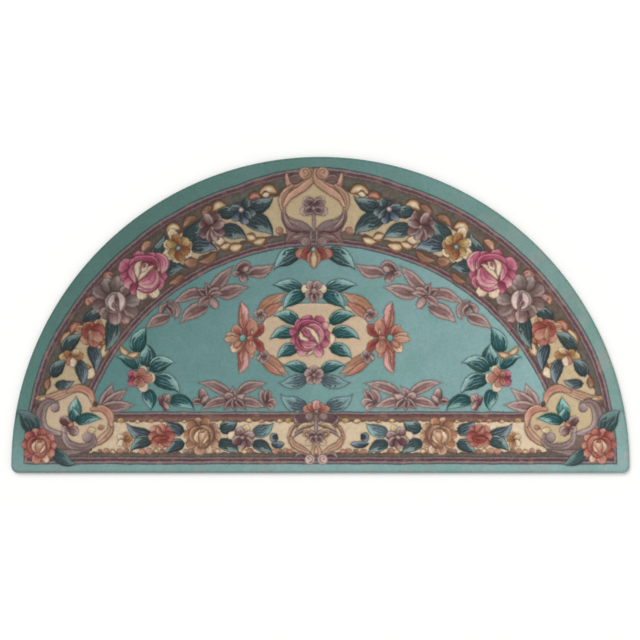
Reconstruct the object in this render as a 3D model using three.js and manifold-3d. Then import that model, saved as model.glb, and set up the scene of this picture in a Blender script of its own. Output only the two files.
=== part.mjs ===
// Half-moon carved wool rug, laid flat. Millimetres, +Z up.
// The origin is under the middle of the rug's box: X runs along the straight front edge,
// +Y runs towards the crown of the arch, and Z = 0 is the floor.
import * as THREE from "three";
import { mergeVertices } from "three/addons/utils/BufferGeometryUtils.js";
import Module from "manifold-3d";

// Driving sizes of the rug
const WIDTH = 1370; // along the straight front edge
const DEPTH = 700; // front edge to crown
const PILE = 12; // top of the ground pile above the floor
const RELIEF = 1.5; // how far the carved motifs stand above the ground pile
const GROOVE_WIDTH = 7; // clipped groove beside each guard line
const GROOVE_DEPTH = 3;

// The arch is a half circle that runs into two rounded front corners
const RADIUS = WIDTH / 2;
const ARCH_Y = DEPTH / 2 - RADIUS;
const CORNER_RADIUS = ARCH_Y + DEPTH / 2;
const ARCH_STEPS = 80;
const CORNER_STEPS = 5;

// Distances along the arch border are measured on this radius, from the crown
const BORDER_RADIUS = 580;

// Side of the rug from the floor up: the foundation sits back under the spreading pile
const EDGE_RINGS = [
  { height: 0, inset: 3 },
  { height: 2.5, inset: 2.2 },
  { height: 6, inset: 0 },
  { height: 9, inset: 0.6 },
  { height: 11, inset: 2.6 },
  { height: PILE, inset: 7 },
];

// Clipping of the motifs
const BEVEL = 2.4; // slope width at a motif's rim
const ROOT = 1; // how far a motif's solid starts below the ground pile
const LEAF_STEPS = 4;
const PETAL_STEPS = 2;
const SCROLL_STEPS = 6;
const GROOVE_STEP = 40; // length of one groove facet

// Guard lines of the arch border, from the crown outwards, the same on both halves
const OUTER_GUARD = [
  { along: 0, out: 658 },
  { along: 90, out: 656 },
  { along: 170, out: 648 },
  { along: 400, out: 648 },
  { along: 560, out: 652 },
  { along: 700, out: 659 },
  { along: 830, out: 657 },
];
const INNER_GUARD = [
  { along: 0, out: 488 },
  { along: 200, out: 491 },
  { along: 400, out: 501 },
  { along: 560, out: 512 },
  { along: 720, out: 524 },
];

// Guard lines of the front border
const FRONT_GUARDS = [
  { y: -214, reach: 462 },
  { y: -328, reach: 600 },
];

// Flowers of the arch border, on the right half
const ARCH_FLOWERS = [
  { along: 165, out: 587, radius: 25, petals: 4 },
  { along: 245, out: 578, radius: 30, petals: 5 },
  { along: 333, out: 577, radius: 37, petals: 6 },
  { along: 428, out: 581, radius: 53, petals: 7 },
  { along: 520, out: 582, radius: 36, petals: 6 },
  { along: 600, out: 586, radius: 30, petals: 5 },
  { along: 675, out: 596, radius: 20, petals: 4 },
];

// Leaves of the arch border, from stalk to tip
const ARCH_LEAVES = [
  { along: 150, out: 590, tipAlong: 95, tipOut: 603, width: 28 },
  { along: 165, out: 568, tipAlong: 113, tipOut: 528, width: 28 },
  { along: 222, out: 610, tipAlong: 178, tipOut: 588, width: 24 },
  { along: 227, out: 565, tipAlong: 172, tipOut: 533, width: 26 },
  { along: 313, out: 598, tipAlong: 256, tipOut: 607, width: 24 },
  { along: 313, out: 562, tipAlong: 253, tipOut: 533, width: 28 },
  { along: 395, out: 602, tipAlong: 342, tipOut: 616, width: 26 },
  { along: 393, out: 560, tipAlong: 348, tipOut: 535, width: 26 },
  { along: 592, out: 622, tipAlong: 550, tipOut: 603, width: 24 },
  { along: 607, out: 540, tipAlong: 545, tipOut: 570, width: 26 },
  { along: 665, out: 622, tipAlong: 628, tipOut: 598, width: 24 },
  { along: 672, out: 552, tipAlong: 630, tipOut: 573, width: 24 },
  { along: 728, out: 628, tipAlong: 684, tipOut: 608, width: 28 },
  { along: 722, out: 587, tipAlong: 671, tipOut: 570, width: 24 },
];

// Flowers off the arch border, on the right half
const SIDE_FLOWERS = [
  { x: 622, y: -290, radius: 40, petals: 7 },
  { x: 440, y: -270, radius: 25, petals: 5 },
  { x: 360, y: -266, radius: 26, petals: 5 },
  { x: 262, y: -266, radius: 35, petals: 6 },
  { x: 175, y: -266, radius: 26, petals: 5 },
  { x: 103, y: -276, radius: 17, petals: 4 },
  { x: 392, y: -135, radius: 30, petals: 5 },
  { x: 180, y: -50, radius: 18, petals: 4 },
];

// Flowers on the middle line
const MIDDLE_FLOWERS = [
  { x: 0, y: 240, radius: 24, petals: 5 },
  { x: 0, y: 138, radius: 32, petals: 5 },
  { x: 0, y: 60, radius: 20, petals: 5 },
  { x: 0, y: -45, radius: 47, petals: 7 },
  { x: 0, y: -134, radius: 18, petals: 5 },
  { x: 0, y: -197, radius: 30, petals: 5 },
];

// Leaves off the arch border, on the right half, from stalk to tip
const SIDE_LEAVES = [
  { x: 640, y: -258, tipX: 646, tipY: -205, width: 34 },
  { x: 590, y: -312, tipX: 532, tipY: -312, width: 26 },
  { x: 418, y: -262, tipX: 382, tipY: -242, width: 20 },
  { x: 418, y: -280, tipX: 378, tipY: -292, width: 20 },
  { x: 338, y: -256, tipX: 298, tipY: -240, width: 22 },
  { x: 338, y: -280, tipX: 300, tipY: -296, width: 22 },
  { x: 232, y: -256, tipX: 194, tipY: -242, width: 22 },
  { x: 232, y: -280, tipX: 192, tipY: -298, width: 22 },
  { x: 155, y: -260, tipX: 120, tipY: -246, width: 20 },
  { x: 155, y: -278, tipX: 116, tipY: -300, width: 20 },
  { x: 378, y: -112, tipX: 350, tipY: -72, width: 26 },
  { x: 405, y: -104, tipX: 412, tipY: -40, width: 30 },
  { x: 418, y: -130, tipX: 462, tipY: -112, width: 26 },
  { x: 408, y: -158, tipX: 430, tipY: -196, width: 26 },
  { x: 376, y: -156, tipX: 352, tipY: -196, width: 26 },
  { x: 366, y: -132, tipX: 322, tipY: -122, width: 24 },
  { x: 455, y: -166, tipX: 480, tipY: -206, width: 30 },
  { x: 30, y: 128, tipX: 88, tipY: 110, width: 30 },
  { x: 25, y: -190, tipX: 82, tipY: -172, width: 28 },
  { x: 28, y: -18, tipX: 74, tipY: 2, width: 26 },
  { x: 42, y: -46, tipX: 90, tipY: -48, width: 26 },
  { x: 30, y: -74, tipX: 76, tipY: -92, width: 26 },
  { x: 18, y: 52, tipX: 72, tipY: 66, width: 26 },
  { x: 18, y: 38, tipX: 74, tipY: 26, width: 22 },
  { x: 16, y: -122, tipX: 66, tipY: -112, width: 22 },
  { x: 16, y: -138, tipX: 74, tipY: -156, width: 26 },
  { x: 120, y: -44, tipX: 152, tipY: 12, width: 26 },
  { x: 120, y: -56, tipX: 152, tipY: -112, width: 26 },
  { x: 250, y: 44, tipX: 330, tipY: 20, width: 30 },
  { x: 262, y: 30, tipX: 380, tipY: -22, width: 30 },
  { x: 232, y: 56, tipX: 150, tipY: 82, width: 30 },
  { x: 226, y: 70, tipX: 108, tipY: 112, width: 28 },
  { x: 196, y: -180, tipX: 276, tipY: -172, width: 28 },
  { x: 190, y: -188, tipX: 112, tipY: -196, width: 28 },
];

// Scrolls of the three scroll panels, on the right half, each along the points of its middle line
const SCROLLS = [
  { width: 17, points: [[618, -187], [585, -172], [548, -166], [508, -180], [500, -202]] },
  { width: 19, points: [[502, -196], [474, -212], [466, -240], [478, -268], [504, -284]] },
  { width: 19, points: [[574, -214], [594, -196], [620, -204], [622, -232], [606, -262]] },
  { width: 19, points: [[566, -288], [540, -296], [512, -288], [500, -270], [514, -258]] },
  { width: 15, points: [[10, 306], [28, 292], [46, 288], [60, 262], [64, 236]] },
  { width: 17, points: [[70, 300], [62, 282], [68, 262], [74, 240]] },
  { width: 19, points: [[70, 212], [64, 188], [44, 176], [20, 166], [10, 154]] },
  { width: 15, points: [[12, 198], [32, 204], [50, 196]] },
  { width: 17, points: [[46, -228], [62, -248], [58, -276], [34, -296], [12, -312]] },
  { width: 13, points: [[10, -240], [30, -250], [40, -268], [24, -282]] },
];

// The ivory panel under the middle rose
const PANEL = [
  [140, -50], [105, -8], [58, 24], [0, 32], [-58, 24], [-105, -8],
  [-140, -50], [-95, -92], [-46, -114], [0, -120], [46, -114], [95, -92],
];

const COLOURS = { pile: 0x6f9a97 };

const wasm = await Module();
wasm.setup();

// A point of the arch border, from its distance along the border and out from the arch's centre
function onArch(along, out) {
  const angle = along / BORDER_RADIUS;
  return new THREE.Vector2(out * Math.sin(angle), ARCH_Y + out * Math.cos(angle));
}

// The rug's outline, drawn in by inset
function halfMoon(inset) {
  const points = [];
  for (let i = 0; i <= ARCH_STEPS; i += 1) {
    const angle = (Math.PI * i) / ARCH_STEPS;
    const reach = RADIUS - inset;
    points.push(new THREE.Vector2(reach * Math.cos(angle), ARCH_Y + reach * Math.sin(angle)));
  }
  for (let i = 1; i < 2 * CORNER_STEPS + 1; i += 1) {
    const left = i <= CORNER_STEPS;
    const turn = left ? i : i - 1;
    const angle = Math.PI * (1 + turn / (2 * CORNER_STEPS));
    const middle = (left ? -1 : 1) * (RADIUS - CORNER_RADIUS);
    const reach = CORNER_RADIUS - inset;
    points.push(new THREE.Vector2(middle + reach * Math.cos(angle), ARCH_Y + reach * Math.sin(angle)));
  }
  return points;
}

// A pointed leaf from stalk to tip
function leafOutline(stalk, tip, width, inset) {
  const axis = tip.clone().sub(stalk);
  const length = axis.length() - 3 * inset;
  axis.normalize();
  const across = new THREE.Vector2(-axis.y, axis.x);
  const start = stalk.clone().addScaledVector(axis, 1.5 * inset);
  const edge = [];
  for (let i = 0; i < LEAF_STEPS; i += 1) {
    const part = i / LEAF_STEPS;
    const half = (width / 2 - inset) * Math.sin(Math.PI * part ** 0.8) ** 0.8;
    edge.push({ part, half });
  }
  edge.push({ part: 1, half: 0 });
  const place = ({ part, half }, side) =>
    start.clone().addScaledVector(axis, length * part).addScaledVector(across, side * half);
  const lower = edge.map((row) => place(row, -1));
  const upper = edge.slice(1, -1).reverse().map((row) => place(row, 1));
  return [...lower, ...upper];
}

// A flower with round petals
function flowerOutline(centre, radius, petals, inset) {
  const points = [];
  const steps = petals * PETAL_STEPS;
  for (let i = 0; i < steps; i += 1) {
    const angle = (2 * Math.PI * i) / steps;
    const notch = i % PETAL_STEPS === 0 ? 0.82 : 1;
    const reach = radius * notch - inset;
    points.push(new THREE.Vector2(centre.x + reach * Math.cos(angle), centre.y + reach * Math.sin(angle)));
  }
  return points;
}

// A scroll that swells in the middle and narrows to both ends
function scrollOutline(points, width, inset) {
  const line = new THREE.SplineCurve(points.map(([x, y]) => new THREE.Vector2(x, y)));
  const left = [];
  const right = [];
  for (let i = 0; i <= SCROLL_STEPS; i += 1) {
    const part = i / SCROLL_STEPS;
    const at = line.getPoint(part);
    const along = line.getTangent(part);
    const across = new THREE.Vector2(-along.y, along.x);
    const half = (width / 2) * (0.45 + 0.55 * Math.sin(Math.PI * part)) - inset;
    left.push(at.clone().addScaledVector(across, half));
    right.push(at.clone().addScaledVector(across, -half));
  }
  return [...right, ...left.reverse()];
}

// A closed geometry through rings of points. The section is the flat outline that closes both
// ends, or, without one, the last ring runs on into the first.
function loft(rings, section) {
  const count = rings[0].length;
  const positions = rings.flatMap((ring) => ring.flatMap((point) => [point.x, point.y, point.z]));
  const index = [];
  const bands = section ? rings.length - 1 : rings.length;
  for (let band = 0; band < bands; band += 1) {
    for (let i = 0; i < count; i += 1) {
      const j = (i + 1) % count;
      const next = (band + 1) % rings.length;
      const [a, b, c, d] = [band * count + i, band * count + j, next * count + j, next * count + i];
      index.push(a, b, c, a, c, d);
    }
  }
  const last = (rings.length - 1) * count;
  const caps = section ? THREE.ShapeUtils.triangulateShape(section, []) : [];
  for (const [a, b, c] of caps) {
    index.push(a, c, b, last + a, last + b, last + c);
  }
  const geometry = new THREE.BufferGeometry();
  geometry.setAttribute("position", new THREE.Float32BufferAttribute(positions, 3));
  geometry.setIndex(index);
  return geometry;
}

function toSolid(geometry) {
  const bare = geometry.clone();
  bare.deleteAttribute("normal");
  bare.deleteAttribute("uv");
  const merged = mergeVertices(bare);
  return new wasm.Manifold(
    new wasm.Mesh({
      numProp: 3,
      vertProperties: new Float32Array(merged.attributes.position.array),
      triVerts: new Uint32Array(merged.index.array),
    }),
  );
}

function toGeometry(solid) {
  const mesh = solid.getMesh();
  const geometry = new THREE.BufferGeometry();
  geometry.setAttribute("position", new THREE.BufferAttribute(mesh.vertProperties, 3));
  geometry.setIndex(new THREE.BufferAttribute(mesh.triVerts, 1));
  geometry.computeVertexNormals();
  return geometry;
}

const atHeight = (outline, height) => outline.map(({ x, y }) => new THREE.Vector3(x, y, height));

// A motif that stands above the ground pile, with a clipped slope at its rim
function raised(outline) {
  const foot = outline(0);
  return toSolid(loft([atHeight(foot, PILE - ROOT), atHeight(outline(BEVEL), PILE + RELIEF)], foot));
}

// A clipped V-shaped groove along a line of points, or all the way round a closed one
function groove(line, closed = false) {
  const above = 1;
  const half = (GROOVE_WIDTH / 2) * (1 + above / GROOVE_DEPTH);
  const section = [
    new THREE.Vector2(-half, above),
    new THREE.Vector2(0, -GROOVE_DEPTH),
    new THREE.Vector2(half, above),
  ];
  const count = line.length;
  const rings = line.map((at, i) => {
    const before = closed ? line[(i + count - 1) % count] : line[Math.max(i - 1, 0)];
    const after = closed ? line[(i + 1) % count] : line[Math.min(i + 1, count - 1)];
    const along = after.clone().sub(before).normalize();
    return section.map(({ x, y }) => new THREE.Vector3(at.x - along.y * x, at.y + along.x * x, PILE + y));
  });
  return toSolid(loft(rings, closed ? null : section));
}

// Evenly spaced points on a smooth line through guard rows, over both halves
function archGuard(rows) {
  const right = rows.map(({ along, out }) => onArch(along, out));
  const left = rows.slice(1).map(({ along, out }) => onArch(-along, out));
  const line = new THREE.SplineCurve([...left.reverse(), ...right]);
  return line.getSpacedPoints(Math.round(line.getLength() / GROOVE_STEP));
}

// The grooves of the whole rug
function grooves() {
  const front = FRONT_GUARDS.map(({ y, reach }) =>
    groove([new THREE.Vector2(-reach, y), new THREE.Vector2(reach, y)]));
  const rim = groove(PANEL.map(([x, y]) => new THREE.Vector2(x, y)), true);
  return [groove(archGuard(OUTER_GUARD)), groove(archGuard(INNER_GUARD)), ...front, rim];
}

// Every motif of one half of the rug; side is 1 on the right and -1 on the left
function halfMotifs(side) {
  const flip = (point) => new THREE.Vector2(side * point.x, point.y);
  const placed = (outline) => (side > 0 ? outline : outline.map(flip).reverse());
  const flowers = [
    ...ARCH_FLOWERS.map(({ along, out, ...rest }) => ({ centre: onArch(along, out), ...rest })),
    ...SIDE_FLOWERS.map(({ x, y, ...rest }) => ({ centre: new THREE.Vector2(x, y), ...rest })),
  ];
  const leaves = [
    ...ARCH_LEAVES.map((row) => ({
      stalk: onArch(row.along, row.out),
      tip: onArch(row.tipAlong, row.tipOut),
      width: row.width,
    })),
    ...SIDE_LEAVES.map((row) => ({
      stalk: new THREE.Vector2(row.x, row.y),
      tip: new THREE.Vector2(row.tipX, row.tipY),
      width: row.width,
    })),
  ];
  return [
    ...leaves.map(({ stalk, tip, width }) => raised((inset) => placed(leafOutline(stalk, tip, width, inset)))),
    ...flowers.map(({ centre, radius, petals }) =>
      raised((inset) => placed(flowerOutline(centre, radius, petals, inset)))),
    ...SCROLLS.map(({ points, width }) => raised((inset) => placed(scrollOutline(points, width, inset)))),
  ];
}

// The rug: one body of wool pile on its foundation, clipped and carved
function pileRug() {
  const rings = EDGE_RINGS.map(({ height, inset }) => atHeight(halfMoon(inset), height));
  let body = toSolid(loft(rings, halfMoon(0)));
  for (const cut of grooves()) body = body.subtract(cut);
  const middle = MIDDLE_FLOWERS.map(({ x, y, radius, petals }) =>
    raised((inset) => flowerOutline(new THREE.Vector2(x, y), radius, petals, inset)));
  for (const motif of [...halfMotifs(1), ...halfMotifs(-1), ...middle]) body = body.add(motif);
  return toGeometry(body);
}

const group = new THREE.Group();
const rug = new THREE.Mesh(
  pileRug(),
  new THREE.MeshStandardMaterial({ color: COLOURS.pile, roughness: 0.95, metalness: 0, flatShading: true }),
);
rug.name = "pile_rug";
group.add(rug);

export default group;
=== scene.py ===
"""Half-moon carved wool rug: woven foundation, carved and dyed pile, and a pale studio floor."""

import math
from collections import namedtuple

import bpy
import numpy as np
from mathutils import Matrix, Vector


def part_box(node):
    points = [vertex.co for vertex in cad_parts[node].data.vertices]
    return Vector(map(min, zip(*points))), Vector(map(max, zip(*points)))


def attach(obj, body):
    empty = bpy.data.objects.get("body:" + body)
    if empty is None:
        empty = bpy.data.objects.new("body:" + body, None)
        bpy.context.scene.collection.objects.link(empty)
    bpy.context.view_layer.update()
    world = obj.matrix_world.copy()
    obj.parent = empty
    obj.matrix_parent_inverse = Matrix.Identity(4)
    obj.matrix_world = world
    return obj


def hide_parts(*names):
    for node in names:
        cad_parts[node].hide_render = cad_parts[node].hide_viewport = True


bl_info = {
    "name": "Half-Moon Carved Rug",
    "version": (1, 0, 0),
    "blender": (4, 5, 0),
    "location": "View3D > Sidebar > Rug",
    "description": "Builds a half-moon wool rug with carved flowers, leaves and scrolls",
    "category": "Add Mesh",
}

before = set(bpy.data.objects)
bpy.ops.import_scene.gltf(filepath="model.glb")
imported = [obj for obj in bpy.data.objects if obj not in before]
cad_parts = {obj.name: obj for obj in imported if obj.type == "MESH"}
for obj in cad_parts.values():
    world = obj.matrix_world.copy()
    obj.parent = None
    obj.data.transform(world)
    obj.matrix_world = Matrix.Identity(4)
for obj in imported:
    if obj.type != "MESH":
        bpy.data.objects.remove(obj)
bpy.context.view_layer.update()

# All sizes below are in millimetres; the rug's own frame is X along the front edge, Y to the crown
MM = 0.001
CAD_LOW, CAD_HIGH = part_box("pile_rug")
WIDTH = (CAD_HIGH[0] - CAD_LOW[0]) / MM
DEPTH = (CAD_HIGH[1] - CAD_LOW[1]) / MM
TOP = (CAD_HIGH[2] - CAD_LOW[2]) / MM
RADIUS = WIDTH / 2
ARCH_Y = DEPTH / 2 - RADIUS
CORNER_RADIUS = ARCH_Y + DEPTH / 2
# Distance along the arch border is measured on this radius
BORDER_RADIUS = 580


# Colours and sizes


def linear(hex_colour):
    """Linear colour of an sRGB hex value."""
    parts = [int(hex_colour[i : i + 2], 16) / 255 for i in (1, 3, 5)]
    return tuple(p / 12.92 if p <= 0.04045 else ((p + 0.055) / 1.055) ** 2.4 for p in parts)


def dye(name, hex_colour, description):
    """A wool dye as a colour property."""
    return bpy.props.FloatVectorProperty(
        name=name, description=description, subtype="COLOR", size=3, min=0, max=1, default=linear(hex_colour)
    )


def length(name, millimetres, description):
    """A size of the rug's make as a property."""
    size = millimetres * MM
    return bpy.props.FloatProperty(name=name, description=description, subtype="DISTANCE", default=size)


def strength(name, value, description):
    """A light's strength as a property."""
    return bpy.props.FloatProperty(name=name, description=description, default=value)


class RugDyes(bpy.types.PropertyGroup):
    """Dyed wools of the rug."""

    # Deep teal and pale teal are also the dark and light ends of the teal ground's painted light, from the
    # upper left to the lower right
    teal_deep: dye("Deep teal", "#60867f", "Outer band at the crown and the left side")
    teal: dye("Teal", "#608b88", "Field")
    teal_pale: dye("Pale teal", "#8aacaa", "Field and outer band at the lower right")
    teal_green: dye("Green teal", "#5c9482", "Greener lengths of the teal ground")
    ivory: dye("Ivory", "#cfb799", "Panels and the ground between the border's leaves")
    ivory_pale: dye("Pale ivory", "#dcc6a8", "Lighter ivory ground")
    ivory_deep: dye("Deep ivory", "#c3ae8b", "Ground between the arch border's leaves")
    shell: dye("Shell pink", "#d6bdb6", "Pink volutes of the front panel")
    # The teal outline is partly outline yarn and partly painted shade in the carved line beside the teal
    teal_line: dye("Teal outline", "#4d5f5c", "Outline between the teal and the guards")
    line_brown: dye("Brown outline", "#5d463b", "Outlines of flowers and scrolls")
    mauve_line: dye("Guard mauve", "#8b777a", "Light line of the guards")
    maroon: dye("Maroon", "#60464a", "Dark band of the guards")
    maroon_brown: dye("Brown maroon", "#6a4a46", "Band above the front border")
    taupe: dye("Taupe", "#574a40", "Border ground beside the guards")
    sage: dye("Sage", "#5a6459", "Green-grey border ground")
    night: dye("Night green", "#2c3a3c", "Heart of the border leaves")
    navy: dye("Navy", "#2b5270", "Blue touches in the leaves' hearts")
    slate: dye("Slate", "#47535a", "Border leaves")
    slate_pale: dye("Pale slate", "#657877", "Tips of the border leaves")
    slate_light: dye("Light slate", "#8b9c98", "Lit side of the border leaves")
    moss: dye("Moss", "#41564c", "Greener border leaves")
    blue_slate: dye("Blue slate", "#47536a", "Bluer border leaves")
    blue_light: dye("Light blue slate", "#8f96a0", "Lit side of the bluer leaves")
    pine_grey: dye("Grey pine", "#465351", "Leaves of the corner roses")
    pine: dye("Pine", "#1c4341", "Heart of the field leaves")
    fern: dye("Fern", "#356a64", "Field leaves")
    aqua: dye("Aqua", "#76aaa2", "Tips of the field leaves")
    aqua_pale: dye("Pale aqua", "#a1c0bc", "Lit side of the field leaves")
    wine: dye("Wine", "#74303f", "Shadows of the peonies")
    magenta: dye("Magenta", "#a24a63", "Peonies")
    pink: dye("Pink", "#c47a8c", "Petal rims of the peonies")
    blush: dye("Blush", "#d8a9a6", "Inner petals of the peonies")
    cream: dye("Cream", "#e0ccb0", "Hearts of the flowers")
    rust: dye("Rust", "#7d372f", "Shadows of the coral flowers")
    coral: dye("Coral", "#a25e54", "Coral flowers and bows")
    rosy: dye("Rosy coral", "#b47567", "Lit petals of the coral flowers")
    peach: dye("Peach", "#c29580", "Rims of the coral flowers")
    umber: dye("Umber", "#7b563f", "Shadows of the tan roses")
    tan: dye("Tan", "#a2755a", "Tan roses and long leaves")
    amber_tan: dye("Amber tan", "#b58770", "Long leaves of the medallion")
    sand: dye("Sand", "#cba688", "Rims of the tan roses")
    bronze: dye("Bronze", "#7f5633", "Shadows of the ochre flowers")
    amber: dye("Amber", "#94633f", "Inner petals of the ochre flowers")
    gold: dye("Gold", "#c39c70", "Buds beside the guards")
    bud_brown: dye("Bud brown", "#8d6a5c", "Scalloped rows of the front border")
    ochre: dye("Ochre", "#a98656", "Ochre flowers")
    straw: dye("Straw", "#c4b07c", "Rims of the ochre flowers")
    plum: dye("Plum", "#5a3e3f", "Shadows of the mauve flowers")
    mauve_deep: dye("Deep mauve", "#644846", "Hearts of the mauve leaves")
    mauve: dye("Mauve", "#8a6b68", "Mauve sprays")
    lilac: dye("Lilac", "#b9a29a", "Lit side of the mauve sprays")
    scroll: dye("Peach scroll", "#b38e75", "Peach scrolls of the panels")
    scroll_pale: dye("Pale scroll", "#cda78e", "Lit side of the peach scrolls")
    taupe_light: dye("Light taupe", "#786259", "Taupe flowers and the ground about the corner panels")
    volute: dye("Mauve scroll", "#85726e", "Mauve scrolls of the panels")
    volute_pale: dye("Pale volute", "#aa9792", "Lit side of the mauve scrolls")


class RugSizes(bpy.types.PropertyGroup):
    """Sizes of the rug's make."""

    ground: length("Ground pile", 12, "Top of the ground pile")
    groove: length("Carved line", 2.2, "Depth of a carved line")
    spacing: length("Pile mesh", 1.45, "Spacing of the pile's points")
    knot: length("Knot pitch", 2.8, "Distance between two tufts")
    foundation: length("Foundation", 2.4, "Thickness of the woven foundation")


class RugStage(bpy.types.PropertyGroup):
    """Floor and light of the studio."""

    floor: dye("Floor", "#f6f5f3", "Pale floor under the rug")
    key: strength("Soft light", 1.6, "Strength of the soft light from the upper left")
    fill: strength("Room light", 0.72, "Strength of the even light of the room")


# Drawing board

# Dyes of a motif: root, body and tip from stalk to tip, its rim, and the carved outline round it, whose dark
# is outline yarn and painted shade in the carved line
YARNS = {
    "border leaf": "night slate slate_pale slate_light night",
    "green leaf": "night moss slate_pale slate_light night",
    "night": "night night navy slate night",
    "field leaf": "fern aqua aqua_pale aqua_pale pine",
    "panel leaf": "pine fern aqua aqua_pale pine",
    "grey leaf": "slate slate_pale teal_pale teal_pale night",
    "mauve leaf": "mauve_deep mauve lilac lilac plum",
    "lilac bud": "mauve lilac lilac mauve plum",
    "mauve petal": "plum mauve lilac lilac plum",
    "plum petal": "plum plum mauve lilac plum",
    "taupe petal": "taupe volute volute_pale volute_pale plum",
    "tan leaf": "tan amber_tan scroll_pale scroll_pale umber",
    "peony": "wine magenta pink pink wine",
    "peony inner": "magenta pink blush blush wine",
    "coral": "rust coral peach peach rust",
    "coral rose": "rust rust coral coral rust",
    "corner rose": "rust coral rosy rosy rust",
    "corner cup": "rosy sand cream cream rust",
    "corner leaf": "night pine_grey teal slate_pale teal_line",
    "mauve ground": "mauve mauve mauve volute plum",
    "rosy bow": "coral rosy peach peach rust",
    "blue leaf": "night blue_slate blue_light slate_light night",
    "taupe rose": "plum taupe_light volute volute_pale plum",
    "wine petal": "wine mauve lilac rosy wine",
    "sky leaf": "pine fern aqua_pale aqua_pale pine",
    "pale leaf": "night teal teal_pale aqua_pale night",
    "rust bud": "tan peach rosy coral umber",
    "tan rose": "umber tan tan sand umber",
    "tan rose inner": "umber bud_brown sand scroll_pale umber",
    "rose heart": "tan sand cream cream umber",
    "ochre": "bronze ochre straw straw umber",
    "amber": "rust amber ochre ochre umber",
    "sand petal": "coral sand cream sand rust",
    "straw petal": "ochre straw cream cream umber",
    "slate flower": "night slate slate_light slate_light night",
    "cup": "volute_pale shell cream shell plum",
    "cream": "sand cream cream cream line_brown",
    "bud": "gold cream gold ochre umber",
    "bud ring": "bronze ochre bronze bronze line_brown",
    "brown bud": "umber bud_brown scroll tan line_brown",
    "pink ribbon": "coral peach blush blush rust",
    "pink leaf": "tan rosy peach peach umber",
    "peach petal": "coral peach sand sand umber",
    "peach scroll": "scroll scroll scroll_pale scroll_pale line_brown",
    "rosy scroll": "scroll rosy scroll_pale scroll_pale line_brown",
    "panel ground": "taupe_light taupe_light taupe_light volute plum",
    "coral scroll": "scroll peach scroll_pale scroll_pale line_brown",
    "mauve scroll": "volute volute volute_pale volute_pale plum",
    "ivory": "ivory ivory ivory ivory_pale line_brown",
    "deep ivory": "ivory_deep ivory_deep ivory_deep ivory line_brown",
    "beige petal": "taupe_light ivory_deep ivory_deep ivory line_brown",
    "plum flower": "plum plum mauve volute_pale plum",
    "pink volute": "rosy shell shell shell line_brown",
    "bow loop": "coral amber_tan peach peach rust",
    "green heart": "fern teal_green teal_green teal_pale pine",
    "brown scroll": "bud_brown scroll scroll scroll_pale umber",
    "maroon ground": "maroon maroon maroon maroon plum",
    "ground brown": "line_brown line_brown line_brown line_brown plum",
    "curl": "bud_brown bud_brown bud_brown bud_brown line_brown",
}

# Size of a cell of the drawing, the drawing's margin round the rug, and the half width of a carved line
CELL = 0.8
MARGIN = 8
LINE = 1.3

# Over which distance inside its rim a motif begins, blurred by the tufts or drawn sharp
SOFT_RIM = (-1.9, 0.2)
SHARP_RIM = (-0.6, 0.8)

# Size and seed of the small wobble of a drawn line
HAND = (7, 21)


class Design:
    """The rug's drawing board: dye and carved height for each cell of CELL millimetres."""

    def __init__(self, dyes, ground, groove):
        left, low = -WIDTH / 2 - MARGIN, -DEPTH / 2 - MARGIN
        self.x = np.arange(left, WIDTH / 2 + MARGIN, CELL, dtype=np.float32) + CELL / 2
        self.y = np.arange(low, DEPTH / 2 + MARGIN, CELL, dtype=np.float32) + CELL / 2
        shape = (len(self.y), len(self.x))
        self.colour = np.zeros((*shape, 3), np.float32)
        self.rise = np.full(shape, ground, np.float32)
        self.ground, self.groove, self.dyes = ground, groove, dyes

    def wool(self, name):
        return np.array(self.dyes[name], np.float32)

    def tones(self, yarns, shade=1.0):
        """Root, body, tip, rim and outline colours of some yarns."""
        return [self.wool(name) * shade for name in YARNS[yarns].split()]

    def window(self, low, high):
        """Slices of the cells in a box, and their places."""
        columns = slice(*np.searchsorted(self.x, (low[0], high[0])))
        rows = slice(*np.searchsorted(self.y, (low[1], high[1])))
        return (rows, columns), self.x[None, columns], self.y[rows, None]

    def lay(self, cells, cover, colour, rise):
        """Lays colour and height over cells by their cover."""
        cover = cover.astype(np.float32)
        self.colour[cells] += (colour - self.colour[cells]) * cover[..., None]
        self.rise[cells] += (rise - self.rise[cells]) * cover

    def carve(self, cells, inside, cover, colour, dome, edge, line, cut):
        """Lays a motif with its dark outline and clipped line, by how far inside its rim each cell is. The
        outline's dark is partly outline yarn and partly painted shade in the clipped line.
        """
        colour = mix(colour, edge, line * bell(inside, -0.2, LINE))
        self.lay(cells, cover, colour, dome - self.groove * bell(inside, 0, LINE) * cut)


def ease(part):
    return part * part * (3 - 2 * part)


def smooth(low, high, value):
    """0 below low and 1 above high, eased between them."""
    return ease(np.clip((value - low) / (high - low), 0, 1))


def bell(value, middle, spread):
    """1 at the middle, falling to nothing on both sides."""
    return np.exp(-(((value - middle) / spread) ** 2))


def mix(colour, wool, part):
    """Colour moved to a wool by its part at each place."""
    return colour + (wool - colour) * part[..., None]


def blend3(first, second, third, part):
    """Colour through three dyes as part goes from 0 to 1."""
    early = mix(first, second, np.clip(part * 2, 0, 1))
    return early + (third - second) * np.clip(part * 2 - 1, 0, 1)[..., None]


def between(grid, row, column, part_row, part_column):
    """Values of a grid at places between its points."""
    near = grid[row, column] * (1 - part_column) + grid[row, column + 1] * part_column
    far = grid[row + 1, column] * (1 - part_column) + grid[row + 1, column + 1] * part_column
    return near * (1 - part_row) + far * part_row


# Random values on a turned lattice that repeats; the shift keeps its places above zero
LATTICE = 96
SHIFT = 600.5


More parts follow.
